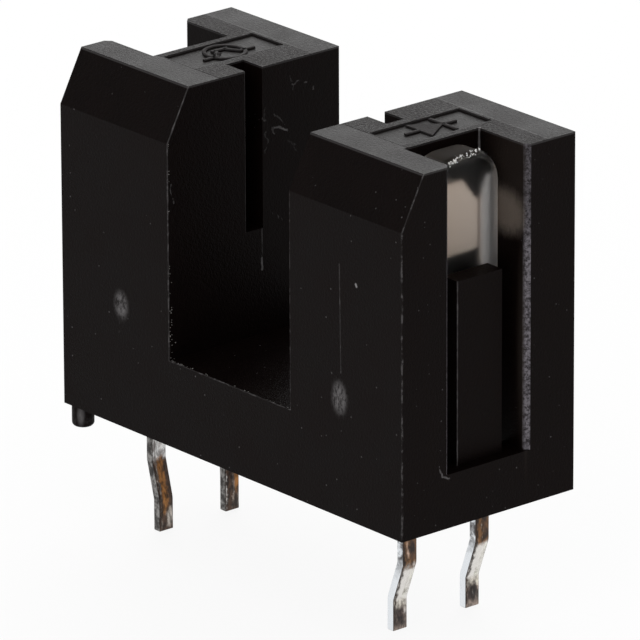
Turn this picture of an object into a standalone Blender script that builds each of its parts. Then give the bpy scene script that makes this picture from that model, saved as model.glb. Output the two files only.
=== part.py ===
"""Slotted optical switch: a U-shaped moulded housing that holds an infrared emitter in one tower
and a light sensor in the other, each an epoxy package on a two-lead frame.

Frame, in metres: the origin is the centre of the housing's underside, which seats on the board.
+X runs from the sensor's tower to the emitter's, +Y to the square back of the towers, +Z up.
"""

import math

import bmesh
import bpy
from mathutils import Matrix, Vector

MM = 0.001

# Housing
SLOT_WIDTH = 5.0 * MM
SLOT_DEPTH = 7.55 * MM
INNER_WALL = 0.70 * MM
ROOF_THICKNESS = 0.60 * MM
HOUSING_DEPTH = 6.0 * MM
HOUSING_HEIGHT = 10.0 * MM
FRONT_BEVEL_RUN = 0.75 * MM
FRONT_BEVEL_DROP = 1.45 * MM
EDGE_ROUND = 0.05 * MM
EDGE_STEPS = 2
EDGE_ANGLE = math.radians(40)

# Aperture slit through each tower's inner wall, open at the top
SLIT_WIDTH = 0.60 * MM
SLIT_DEPTH = 4.55 * MM
SLIT_OVERCUT = 0.08 * MM

# Window in each tower's outer end, open at the top, with the latch finger standing in it
WINDOW_WIDTH = 2.62 * MM
WINDOW_BEHIND_LEADS = 0.08 * MM
WINDOW_SILL = 1.50 * MM
WINDOW_FLARE = 0.15 * MM
FINGER_WIDTH = 1.56 * MM
FINGER_THICKNESS = 0.58 * MM
FINGER_BELOW_TOP = 3.38 * MM
NIB_REACH = 0.35 * MM
NIB_HEIGHT = 0.70 * MM

# Shallow recess on each tower's top, which takes the marking
MARK_RECESS = 0.06 * MM
MARK_LENGTH = 3.11 * MM
MARK_WIDTH = 1.31 * MM
MARK_BACK_MARGIN = 1.04 * MM
MARK_WINDOW_MARGIN = 0.24 * MM

# Locating peg under the sensor tower's front corner
PEG_RADIUS = 0.31 * MM
PEG_MARGIN = 0.05 * MM
PEG_LENGTH = 0.63 * MM
PEG_TIP_ROUND = 0.12 * MM
PEG_ROOT = 0.30 * MM

# Epoxy package
PACKAGE_WIDTH = 4.10 * MM
PACKAGE_HEIGHT = 5.70 * MM
PACKAGE_INNER_REACH = 1.00 * MM
PACKAGE_OUTER_REACH = 0.20 * MM
PACKAGE_CORNER = 0.45 * MM
PACKAGE_EDGE = 0.06 * MM
EMITTER_BOSS_BELOW_TOP = 0.22 * MM
SENSOR_BOSS_BELOW_TOP = 0.45 * MM
BOSS_REACH = 0.80 * MM
BOSS_CORNER = 1.00 * MM
BOSS_EDGE = 0.15 * MM
BOSS_EDGE_STEPS = 3
LENS_RADIUS = 1.00 * MM
LENS_SINK = 0.10 * MM
AXIS_BELOW_TOP = 2.20 * MM

# Lead frame
LEAD_PLANE_FROM_END = 1.80 * MM
LEAD_PITCH = 2.54 * MM
LEAD_WIDTH = 0.48 * MM
LEAD_THICKNESS = 0.25 * MM
EMITTER_JOGGLE = 0.40 * MM
SENSOR_JOGGLE = 0.29 * MM
SENSOR_PAD_LEAN = 0.20 * MM
JOGGLE_START = 1.50 * MM
JOGGLE_RUN = 1.10 * MM
JOGGLE_RADIUS = 0.35 * MM
TIP_RUN = 0.90 * MM
HEAD_COVER = 0.41 * MM
HEAD_SPLIT = 0.84 * MM
HEAD_GAP = 0.08 * MM
HEAD_NOTCH_DEPTH = 0.66 * MM
HEAD_SHOULDER = 0.06 * MM
PAD_NOTCH_RUN = 0.50 * MM
POST_NOTCH_RUN = 0.24 * MM
PAD_DROP = 0.87 * MM
POST_DROP = 1.35 * MM

# Chip, the spot of silver-filled adhesive that holds it, and the bond wire
CHIP_SIDE = 0.36 * MM
CHIP_THICKNESS = 0.18 * MM
ADHESIVE_RADIUS = 0.28 * MM
ADHESIVE_THICKNESS = 0.03 * MM
WIRE_RADIUS = 0.016 * MM
WIRE_LOOP = 0.28 * MM
WIRE_POINTS = 13

# Clearances
SIDE_GAP = 0.04 * MM
ROOF_GAP = 0.10 * MM
LENS_GAP = 0.10 * MM
FINGER_GAP = 0.06 * MM
EMBED_GAP = 0.02 * MM
CUT_PAST = 0.50 * MM
SAME_POINT = 0.0001 * MM

ARC_STEPS = 6
ROUND_STEPS = 24
FLAT_ANGLE = math.radians(0.01)

# Places along X in the emitter's tower, from the slot outwards
POCKET_INNER_X = SLOT_WIDTH / 2 + INNER_WALL
LENS_X = POCKET_INNER_X + LENS_GAP + LENS_RADIUS
PACKAGE_INNER_X = LENS_X - LENS_SINK
LEAD_X = PACKAGE_INNER_X + PACKAGE_INNER_REACH
WINDOW_BACK_X = LEAD_X - WINDOW_BEHIND_LEADS
PACKAGE_OUTER_X = LEAD_X + PACKAGE_OUTER_REACH
POCKET_OUTER_X = PACKAGE_OUTER_X + SIDE_GAP
BOSS_X = LEAD_X + BOSS_REACH
FINGER_INNER_X = BOSS_X + FINGER_GAP
FINGER_OUTER_X = FINGER_INNER_X + FINGER_THICKNESS
END_X = LEAD_X + LEAD_PLANE_FROM_END

# Places on the pad's slot side
PAD_FACE_X = LEAD_X - LEAD_THICKNESS / 2
ADHESIVE_OUTER_X = PAD_FACE_X - EMBED_GAP
CHIP_OUTER_X = ADHESIVE_OUTER_X - ADHESIVE_THICKNESS - EMBED_GAP
CHIP_FACE_X = CHIP_OUTER_X - CHIP_THICKNESS

# Heights, counted down from the housing's top
PACKAGE_TOP = HOUSING_HEIGHT - ROOF_THICKNESS - ROOF_GAP
PACKAGE_FOOT = PACKAGE_TOP - PACKAGE_HEIGHT
FINGER_TOP = HOUSING_HEIGHT - FINGER_BELOW_TOP
OPTICAL_AXIS = HOUSING_HEIGHT - AXIS_BELOW_TOP
HEAD_TOP = PACKAGE_TOP - HEAD_COVER
PAD_FOOT = OPTICAL_AXIS - PAD_DROP
POST_FOOT = OPTICAL_AXIS - POST_DROP

# Widths along Y
POCKET_WIDTH = PACKAGE_WIDTH + 2 * SIDE_GAP
BOSS_WIDTH = WINDOW_WIDTH - 2 * SIDE_GAP
LEAD_OUTER_Y = (LEAD_PITCH + LEAD_WIDTH) / 2


def clear_scene():
    """Removes what the startup scene holds."""
    for thing in list(bpy.data.objects):
        bpy.data.objects.remove(thing, do_unlink=True)


def new_collection(name):
    collection = bpy.data.collections.new(name)
    bpy.context.scene.collection.children.link(collection)
    return collection


def new_material(name, colour, roughness, metallic=0.0, transmission=0.0):
    material = bpy.data.materials.new(name)
    material.use_nodes = True
    shader = material.node_tree.nodes["Principled BSDF"]
    shader.inputs["Base Color"].default_value = (*colour, 1.0)
    shader.inputs["Roughness"].default_value = roughness
    shader.inputs["Metallic"].default_value = metallic
    shader.inputs["Transmission Weight"].default_value = transmission
    return material


def place(mesh, name, collection, parent=None, location=(0, 0, 0)):
    """A mesh object in a collection, under a parent's frame."""
    thing = bpy.data.objects.new(name, mesh)
    thing.location = location
    thing.parent = parent
    collection.objects.link(thing)
    return thing


def from_bmesh(bm, name, collection, parent=None, location=(0, 0, 0)):
    bmesh.ops.recalc_face_normals(bm, faces=bm.faces)
    mesh = bpy.data.meshes.new(name)
    bm.to_mesh(mesh)
    bm.free()
    return place(mesh, name, collection, parent, location)


def box(name, low, high, collection, parent=None):
    """A box between two corners, with its origin at its centre."""
    low, high = Vector(low), Vector(high)
    bm = bmesh.new()
    bmesh.ops.create_cube(bm, size=1.0)
    bmesh.ops.scale(bm, vec=high - low, verts=bm.verts)
    return from_bmesh(bm, name, collection, parent, (low + high) / 2)


def filleted(points, radii, closed=True):
    """The outline with an arc of the given radius at each corner; a radius of 0 keeps the corner."""
    result = []
    count = len(points)
    for index, (point, radius) in enumerate(zip(points, radii)):
        here = Vector(point)
        if radius <= 0 or (not closed and index in (0, count - 1)):
            result.append(here)
            continue
        back = (Vector(points[index - 1]) - here).normalized()
        ahead = (Vector(points[(index + 1) % count]) - here).normalized()
        half = back.angle(ahead) / 2
        centre = here + (back + ahead).normalized() * (radius / math.sin(half))
        start = here + back * (radius / math.tan(half)) - centre
        end = here + ahead * (radius / math.tan(half)) - centre
        for step in range(ARC_STEPS + 1):
            share = step / ARC_STEPS
            result.append(centre + start.slerp(end, share) * radius)
    return result


def prism(name, outline, low, high, axes, collection, parent=None):
    """A filled outline extruded from low to high. axes holds the outline's x and y directions."""
    curve = bpy.data.curves.new(name, "CURVE")
    curve.dimensions = "2D"
    curve.fill_mode = "BOTH"
    curve.extrude = (high - low) / 2
    spline = curve.splines.new("POLY")
    spline.points.add(len(outline) - 1)
    for spot, point in zip(spline.points, outline):
        spot.co = (point[0], point[1], 0, 1)
    spline.use_cyclic_u = True
    flat = bpy.data.objects.new(name, curve)
    bpy.context.scene.collection.objects.link(flat)
    bpy.context.view_layer.update()
    graph = bpy.context.evaluated_depsgraph_get()
    mesh = bpy.data.meshes.new_from_object(flat.evaluated_get(graph))
    bpy.data.objects.remove(flat)
    bm = bmesh.new()
    bm.from_mesh(mesh)
    bpy.data.meshes.remove(mesh)
    bmesh.ops.remove_doubles(bm, verts=bm.verts, dist=SAME_POINT)
    bmesh.ops.dissolve_limit(bm, angle_limit=FLAT_ANGLE, verts=bm.verts, edges=bm.edges)
    across, up = Vector(axes[0]), Vector(axes[1])
    along = across.cross(up)
    turn = Matrix((across, up, along)).transposed().to_4x4()
    bmesh.ops.transform(bm, matrix=turn, verts=bm.verts)
    return from_bmesh(bm, name, collection, parent, along * (low + high) / 2)


PLAN = ((1, 0, 0), (0, 1, 0))
END_ON = ((0, 1, 0), (0, 0, 1))


def turned(name, profile, collection, location):
    """A solid of revolution about Z. The profile runs from top to bottom, from axis to axis."""
    bm = bmesh.new()
    spots = [bm.verts.new((x, 0, z)) for x, z in profile]
    for first, second in zip(spots, spots[1:]):
        bm.edges.new((first, second))
    mesh = bpy.data.meshes.new(name)
    bm.to_mesh(mesh)
    bm.free()
    thing = place(mesh, name, collection, None, location)
    screw = thing.modifiers.new("Turn", "SCREW")
    screw.steps = ROUND_STEPS
    screw.render_steps = ROUND_STEPS
    screw.use_merge_vertices = True
    screw.merge_threshold = SAME_POINT
    return thing


def hide_tool(thing):
    """Marks an object as a cutter or a shape that is joined into another."""
    thing.hide_render = True
    thing.display_type = "WIRE"


def combine(target, tool, operation):
    """Adds a Boolean of the tool to the target."""
    hide_tool(tool)
    modifier = target.modifiers.new(tool.name, "BOOLEAN")
    modifier.operation = operation
    modifier.object = tool


def soften(thing, width, steps):
    """Rounds every edge sharper than EDGE_ANGLE."""
    modifier = thing.modifiers.new("Edges", "BEVEL")
    modifier.width = width
    modifier.segments = steps
    modifier.limit_method = "ANGLE"
    modifier.angle_limit = EDGE_ANGLE


def finish(thing, material):
    """Gives a part its material and smooth shading on its round faces."""
    thing.data.materials.append(material)
    thing.data.shade_smooth()
    thing.data.set_sharp_from_angle(angle=EDGE_ANGLE)


def window_cutter(tower, side, cutters):
    """The window's space without the latch finger, which it leaves standing."""
    half = WINDOW_WIDTH / 2
    mouth = half + WINDOW_FLARE
    outline = [
        (WINDOW_BACK_X, -half),
        (END_X - WINDOW_FLARE, -half),
        (END_X, -mouth),
        (END_X + CUT_PAST, -mouth),
        (END_X + CUT_PAST, mouth),
        (END_X, mouth),
        (END_X - WINDOW_FLARE, half),
        (WINDOW_BACK_X, half),
    ]
    outline = [(side * x, y) for x, y in outline]
    top = HOUSING_HEIGHT + CUT_PAST
    window = prism(f"{tower}_window", outline, WINDOW_SILL, top, PLAN, cutters)
    spine = sorted((side * (WINDOW_BACK_X - CUT_PAST), side * FINGER_OUTER_X))
    finger = box(
        f"{tower}_finger",
        (spine[0], -FINGER_WIDTH / 2, WINDOW_SILL - CUT_PAST),
        (spine[1], FINGER_WIDTH / 2, FINGER_TOP),
        cutters,
    )
    combine(window, finger, "DIFFERENCE")
    return window


def channel_cutter(tower, side, cutters):
    """The narrow channel behind the finger. It leaves the finger's nib, which holds the package up."""
    ends = sorted((side * (POCKET_OUTER_X - SIDE_GAP), side * FINGER_INNER_X))
    channel = box(
        f"{tower}_channel",
        (ends[0], -WINDOW_WIDTH / 2, -CUT_PAST),
        (ends[1], WINDOW_WIDTH / 2, PACKAGE_TOP),
        cutters,
    )
    nib_top = PACKAGE_FOOT - SIDE_GAP
    slope = [
        (side * (FINGER_INNER_X + FINGER_THICKNESS / 2), nib_top),
        (side * (FINGER_INNER_X - NIB_REACH), nib_top),
        (side * FINGER_INNER_X, nib_top - NIB_HEIGHT),
        (side * (FINGER_INNER_X + FINGER_THICKNESS / 2), nib_top - NIB_HEIGHT),
    ]
    half = FINGER_WIDTH / 2
    nib = prism(f"{tower}_nib", slope, -half, half, ((1, 0, 0), (0, 0, 1)), cutters)
    combine(channel, nib, "DIFFERENCE")
    return channel


def build_housing(parts, cutters, material):
    """The moulded housing: a bevelled block with the slot, slits, windows and package pockets cut out."""
    half_depth = HOUSING_DEPTH / 2
    section = [
        (-half_depth, 0),
        (half_depth, 0),
        (half_depth, HOUSING_HEIGHT),
        (FRONT_BEVEL_RUN - half_depth, HOUSING_HEIGHT),
        (-half_depth, HOUSING_HEIGHT - FRONT_BEVEL_DROP),
    ]
    housing = prism("housing", section, -END_X, END_X, END_ON, parts)
    top = HOUSING_HEIGHT + CUT_PAST
    slot = box(
        "slot",
        (-SLOT_WIDTH / 2, -half_depth - CUT_PAST, HOUSING_HEIGHT - SLOT_DEPTH),
        (SLOT_WIDTH / 2, half_depth + CUT_PAST, top),
        cutters,
    )
    combine(housing, slot, "DIFFERENCE")
    for tower, side in (("sensor", -1), ("emitter", 1)):
        pocket_ends = sorted((side * POCKET_INNER_X, side * POCKET_OUTER_X))
        pocket = box(
            f"{tower}_pocket",
            (pocket_ends[0], -POCKET_WIDTH / 2, -CUT_PAST),
            (pocket_ends[1], POCKET_WIDTH / 2, PACKAGE_TOP + ROOF_GAP),
            cutters,
        )
        slit_ends = sorted((0, side * (POCKET_INNER_X + SLIT_OVERCUT)))
        slit = box(
            f"{tower}_slit",
            (slit_ends[0], -SLIT_WIDTH / 2, HOUSING_HEIGHT - SLIT_DEPTH),
            (slit_ends[1], SLIT_WIDTH / 2, top),
            cutters,
        )
        combine(housing, pocket, "DIFFERENCE")
        combine(housing, channel_cutter(tower, side, cutters), "DIFFERENCE")
        combine(housing, window_cutter(tower, side, cutters), "DIFFERENCE")
        combine(housing, slit, "DIFFERENCE")

    tip = filleted(
        [(0, PEG_ROOT), (PEG_RADIUS, PEG_ROOT), (PEG_RADIUS, -PEG_LENGTH), (0, -PEG_LENGTH)],
        [0, 0, PEG_TIP_ROUND, 0],
        closed=False,
    )
    peg_inset = PEG_RADIUS + PEG_MARGIN
    peg_place = (peg_inset - END_X, peg_inset - half_depth, 0)
    combine(housing, turned("peg", tip, cutters, peg_place), "UNION")
    soften(housing, EDGE_ROUND, EDGE_STEPS)

    mark_back = half_depth - MARK_BACK_MARGIN
    for tower, side in (("sensor", -1), ("emitter", 1)):
        outer = WINDOW_BACK_X - MARK_WINDOW_MARGIN
        ends = sorted((side * outer, side * (outer - MARK_WIDTH)))
        mark = box(
            f"{tower}_mark",
            (ends[0], mark_back - MARK_LENGTH, HOUSING_HEIGHT - MARK_RECESS),
            (ends[1], mark_back, top),
            cutters,
        )
        combine(housing, mark, "DIFFERENCE")
    finish(housing, material)


def lead_stations(low, high, joggle, lean, grow):
    """Stations below the head: straight down, then set inwards by the joggle and sideways by the lean."""
    joggle_foot = -JOGGLE_START - JOGGLE_RUN
    corners = [
        (LEAD_X, 0, 0),
        (LEAD_X, 0, -JOGGLE_START),
        (LEAD_X - joggle, lean, joggle_foot),
        (LEAD_X - joggle, lean, joggle_foot - TIP_RUN - grow),
    ]
    path = filleted(corners, [0, JOGGLE_RADIUS, JOGGLE_RADIUS, 0], closed=False)
    return [(x, z, low + y, high + y) for x, y, z in path]


def ribbon(name, stations, thickness, collection, parent):
    """A strip through stations of (x, z, low y, high y), thickened about its middle."""
    bm = bmesh.new()
    rows = [(bm.verts.new((x, low, z)), bm.verts.new((x, high, z))) for x, z, low, high in stations]
    for upper, lower in zip(rows, rows[1:]):
        bm.faces.new((upper[0], upper[1], lower[1], lower[0]))
    thing = from_bmesh(bm, name, collection, parent)
    solid = thing.modifiers.new("Thickness", "SOLIDIFY")
    solid.thickness = thickness
    solid.offset = 0
    solid.use_even_offset = True
    return thing


def pad_stations(joggle, lean, grow=0.0):
    """Stations of the lead whose wide head carries the chip. grow widens it into a clearance."""
    low = -LEAD_OUTER_Y - grow
    high = low + LEAD_WIDTH + 2 * grow
    edge = HEAD_SPLIT - HEAD_GAP / 2 + grow
    head = [
        (LEAD_X, HEAD_TOP + grow, low, edge - PAD_NOTCH_RUN),
        (LEAD_X, HEAD_TOP - HEAD_NOTCH_DEPTH + grow, low, edge),
        (LEAD_X, PAD_FOOT - grow, low, edge),
        (LEAD_X, PAD_FOOT - HEAD_SHOULDER - grow, low, high),
    ]
    return head + lead_stations(low, high, joggle, lean, grow)


def post_stations(joggle, grow=0.0):
    """Stations of the lead whose narrow head takes the bond wire."""
    high = LEAD_OUTER_Y + grow
    low = high - LEAD_WIDTH - 2 * grow
    edge = HEAD_SPLIT + HEAD_GAP / 2 - grow
    head = [
        (LEAD_X, HEAD_TOP + grow, edge + POST_NOTCH_RUN, high),
        (LEAD_X, HEAD_TOP - HEAD_NOTCH_DEPTH + grow, edge, high),
        (LEAD_X, POST_FOOT - grow, edge, high),
        (LEAD_X, POST_FOOT - HEAD_SHOULDER - grow, low, high),
    ]
    return head + lead_stations(low, high, joggle, 0.0, grow)


def wire_points():
    """The bond wire's arch from the chip's face to the post's head."""
    chip_face = CHIP_FACE_X - EMBED_GAP - WIRE_RADIUS
    post_face = PAD_FACE_X - EMBED_GAP - WIRE_RADIUS
    post_y = (HEAD_SPLIT + LEAD_OUTER_Y) / 2
    points = []
    for index in range(WIRE_POINTS):
        share = index / (WIRE_POINTS - 1)
        rise = WIRE_LOOP * math.sin(math.pi * share)
        x = chip_face + (post_face - chip_face) * share - rise
        points.append((x, post_y * share, OPTICAL_AXIS))
    return points


def tube(name, points, radius, collection, parent):
    """A round wire along the points, made a mesh with its ends closed."""
    curve = bpy.data.curves.new(name, "CURVE")
    curve.dimensions = "3D"
    curve.bevel_depth = radius
    curve.bevel_resolution = 1
    curve.use_fill_caps = True
    spline = curve.splines.new("POLY")
    spline.points.add(len(points) - 1)
    for spot, point in zip(spline.points, points):
        spot.co = (*point, 1)
    line = bpy.data.objects.new(name, curve)
    bpy.context.scene.collection.objects.link(line)
    bpy.context.view_layer.update()
    graph = bpy.context.evaluated_depsgraph_get()
    mesh = bpy.data.meshes.new_from_object(line.evaluated_get(graph))
    bpy.data.objects.remove(line)
    bm = bmesh.new()
    bm.from_mesh(mesh)
    bpy.data.meshes.remove(mesh)
    bmesh.ops.remove_doubles(bm, verts=bm.verts, dist=SAME_POINT)
    return from_bmesh(bm, name, collection, parent)


def chip(name, grow, collection, parent):
    """The semiconductor die on the pad's slot side, at the optical axis."""
    half = CHIP_SIDE / 2 + grow
    low = (CHIP_FACE_X - grow, -half, OPTICAL_AXIS - half)
    high = (CHIP_OUTER_X + grow, half, OPTICAL_AXIS + half)
    return box(name, low, high, collection, parent)


def adhesive(name, grow, collection, parent):
    """The flat spot of adhesive between the pad and the chip."""
    bm = bmesh.new()
    bmesh.ops.create_cone(
        bm,
        cap_ends=True,
        segments=ROUND_STEPS,
        radius1=ADHESIVE_RADIUS + grow,
        radius2=ADHESIVE_RADIUS + grow,
        depth=ADHESIVE_THICKNESS + 2 * grow,
    )
    bmesh.ops.rotate(bm, matrix=Matrix.Rotation(math.pi / 2, 3, "Y"), verts=bm.verts)
    spot = (ADHESIVE_OUTER_X - ADHESIVE_THICKNESS / 2, 0, OPTICAL_AXIS)
    return from_bmesh(bm, name, collection, parent, spot)


def build_epoxy(device, frame, boss_top, rooms, parts, cutters, material):
    """The moulded package: a flanged body with a round-shouldered boss outside and a lens inside."""
    half = PACKAGE_WIDTH / 2
    flange = filleted(
        [(-half, PACKAGE_FOOT), (half, PACKAGE_FOOT), (half, PACKAGE_TOP), (-half, PACKAGE_TOP)],
        [0, 0, PACKAGE_CORNER, PACKAGE_CORNER],
    )
    epoxy = prism(f"{device}_epoxy", flange, PACKAGE_INNER_X, PACKAGE_OUTER_X, END_ON, parts, frame)
    soften(epoxy, PACKAGE_EDGE, EDGE_STEPS)

    half = BOSS_WIDTH / 2
    arch = filleted(
        [(-half, PACKAGE_FOOT), (half, PACKAGE_FOOT), (half, boss_top), (-half, boss_top)],
        [0, 0, BOSS_CORNER, BOSS_CORNER],
    )
    boss_root = WINDOW_BACK_X + EMBED_GAP
    boss = prism(f"{device}_boss", arch, boss_root, BOSS_X, END_ON, cutters, frame)
    soften(boss, BOSS_EDGE, BOSS_EDGE_STEPS)
    combine(epoxy, boss, "UNION")

    bm = bmesh.new()
    bmesh.ops.create_uvsphere(bm, u_segments=ROUND_STEPS, v_segments=ROUND_STEPS // 2, radius=LENS_RADIUS)
    lens = from_bmesh(bm, f"{device}_lens", cutters, frame, (LENS_X, 0, OPTICAL_AXIS))
    combine(epoxy, lens, "UNION")

    for name, stations in rooms:
        room = ribbon(f"{device}_{name}_room", stations, LEAD_THICKNESS + 2 * EMBED_GAP, cutters, frame)
        combine(epoxy, room, "DIFFERENCE")
    adhesive_room = adhesive(f"{device}_adhesive_room", EMBED_GAP, cutters, frame)
    combine(epoxy, adhesive_room, "DIFFERENCE")
    chip_room = chip(f"{device}_chip_room", EMBED_GAP, cutters, frame)
    combine(epoxy, chip_room, "DIFFERENCE")
    wire_room = tube(f"{device}_wire_room", wire_points(), WIRE_RADIUS + EMBED_GAP, cutters, frame)
    combine(epoxy, wire_room, "DIFFERENCE")
    finish(epoxy, material)


def build_device(device, turn, boss_top, joggle, lean, parts, cutters, finishes):
    """One package with its lead frame, chip and bond wire, turned about Z to face the slot."""
    frame = bpy.data.objects.new(f"{device}_frame", None)
    frame.rotation_euler = (0, 0, turn)
    parts.objects.link(frame)
    rooms = (
        ("pad", pad_stations(joggle, lean, EMBED_GAP)),
        ("post", post_stations(joggle, EMBED_GAP)),
    )
    build_epoxy(device, frame, boss_top, rooms, parts, cutters, finishes[f"{device}_epoxy"])
    leads = (("pad", pad_stations(joggle, lean)), ("post", post_stations(joggle)))
    for name, stations in leads:
        lead = ribbon(f"{device}_{name}_lead", stations, LEAD_THICKNESS, parts, frame)
        finish(lead, finishes["lead"])
    finish(adhesive(f"{device}_chip_adhesive", 0.0, parts, frame), finishes["adhesive"])
    finish(chip(f"{device}_chip", 0.0, parts, frame), finishes["chip"])
    finish(tube(f"{device}_bond_wire", wire_points(), WIRE_RADIUS, parts, frame), finishes["wire"])


def main():
    clear_scene()
    parts = new_collection("slotted_optical_switch")
    cutters = new_collection("cutters")
    finishes = {
        "housing": new_material("black_moulding", (0.012, 0.011, 0.011), 0.55),
        "emitter_epoxy": new_material("clear_epoxy", (0.80, 0.74, 0.66), 0.08, transmission=0.9),
        "sensor_epoxy": new_material("smoked_epoxy", (0.10, 0.07, 0.06), 0.08, transmission=0.6),
        "lead": new_material("tinned_lead", (0.62, 0.58, 0.52), 0.30, metallic=1.0),
        "chip": new_material("chip_silicon", (0.10, 0.10, 0.13), 0.25, metallic=0.6),
        "adhesive": new_material("silver_adhesive", (0.55, 0.54, 0.52), 0.50, metallic=0.5),
        "wire": new_material("gold_wire", (0.90, 0.66, 0.26), 0.20, metallic=1.0),
    }
    build_housing(parts, cutters, finishes["housing"])
    devices = (
        ("emitter", 0.0, HOUSING_HEIGHT - EMITTER_BOSS_BELOW_TOP, EMITTER_JOGGLE, 0.0),
        ("sensor", math.pi, HOUSING_HEIGHT - SENSOR_BOSS_BELOW_TOP, SENSOR_JOGGLE, SENSOR_PAD_LEAN),
    )
    for device, turn, boss_top, joggle, lean in devices:
        build_device(device, turn, boss_top, joggle, lean, parts, cutters, finishes)


main()
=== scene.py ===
"""Looks of a slotted optical switch, a black moulded fork with an emitter and a light sensor facing
each other across its slot.

Sizes are in millimetres and are turned to metres by MM where a mesh, lamp or camera is made. The frame
is the solids' own: the origin is the centre of the housing's underside, +X runs from the sensor's tower
to the emitter's, +Y to the square back of the towers and +Z up.
"""

import logging
import math
from dataclasses import dataclass
from enum import Enum
from typing import Callable, Iterable, Optional, Sequence, Union

import bmesh
import bpy
from mathutils import Matrix, Vector


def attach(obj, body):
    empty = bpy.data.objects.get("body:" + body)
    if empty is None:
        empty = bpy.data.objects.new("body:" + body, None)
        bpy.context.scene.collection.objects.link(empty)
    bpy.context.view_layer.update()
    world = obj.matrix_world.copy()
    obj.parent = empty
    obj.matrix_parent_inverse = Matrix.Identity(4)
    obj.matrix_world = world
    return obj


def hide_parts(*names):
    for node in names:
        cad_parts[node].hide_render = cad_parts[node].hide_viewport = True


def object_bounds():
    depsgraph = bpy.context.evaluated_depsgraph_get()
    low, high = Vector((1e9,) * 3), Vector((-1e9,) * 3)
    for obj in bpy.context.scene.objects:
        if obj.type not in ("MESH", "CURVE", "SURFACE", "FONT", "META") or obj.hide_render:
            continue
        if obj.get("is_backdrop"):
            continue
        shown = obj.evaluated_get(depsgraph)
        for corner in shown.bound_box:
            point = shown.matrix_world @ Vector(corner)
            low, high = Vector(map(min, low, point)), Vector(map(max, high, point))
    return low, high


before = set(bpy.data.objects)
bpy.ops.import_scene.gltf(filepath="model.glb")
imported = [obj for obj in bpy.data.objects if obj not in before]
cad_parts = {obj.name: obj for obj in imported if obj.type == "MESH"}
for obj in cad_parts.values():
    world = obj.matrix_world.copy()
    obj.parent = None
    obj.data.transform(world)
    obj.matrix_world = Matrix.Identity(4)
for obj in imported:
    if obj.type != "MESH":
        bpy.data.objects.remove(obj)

MM = 0.001
WELD = 0.0005 * MM
LOG = logging.getLogger("slotted_optical_switch")
VECTOR = "NodeSocketVector"
GEOMETRY = "NodeSocketGeometry"

Socket = bpy.types.NodeSocket
Outputs = bpy.types.bpy_prop_collection
Feed = Union[float, Sequence[float], Socket]
Feeds = dict[Union[str, int], Feed]
Pair = tuple[float, float]
Point = tuple[float, float, float]


def opaque(colour: Iterable[float], share: float = 1.0) -> tuple[float, ...]:
    """A share of a colour, cut off at white, with full alpha."""
    return (*(min(1.0, share * part) for part in colour), 1.0)


class Tower(Enum):
    """The two towers, by the side of the slot on which each stands."""

    EMITTER = 1
    SENSOR = -1

    @property
    def word(self) -> str:
        """The tower's name as the solids' nodes begin."""
        return self.name.lower()


class Glyph(Enum):
    """The schematic signs moulded on the towers' tops."""

    DIODE = "diode"
    TRANSISTOR = "transistor"


class Slot(Enum):
    """The record's material slots."""

    MOULDING = "black_moulding"
    CLEAR_EPOXY = "clear_epoxy"
    SMOKED_EPOXY = "smoked_epoxy"
    LEAD = "tinned_lead"
    CHIP = "chip_silicon"
    ADHESIVE = "silver_adhesive"
    WIRE = "gold_wire"


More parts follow.
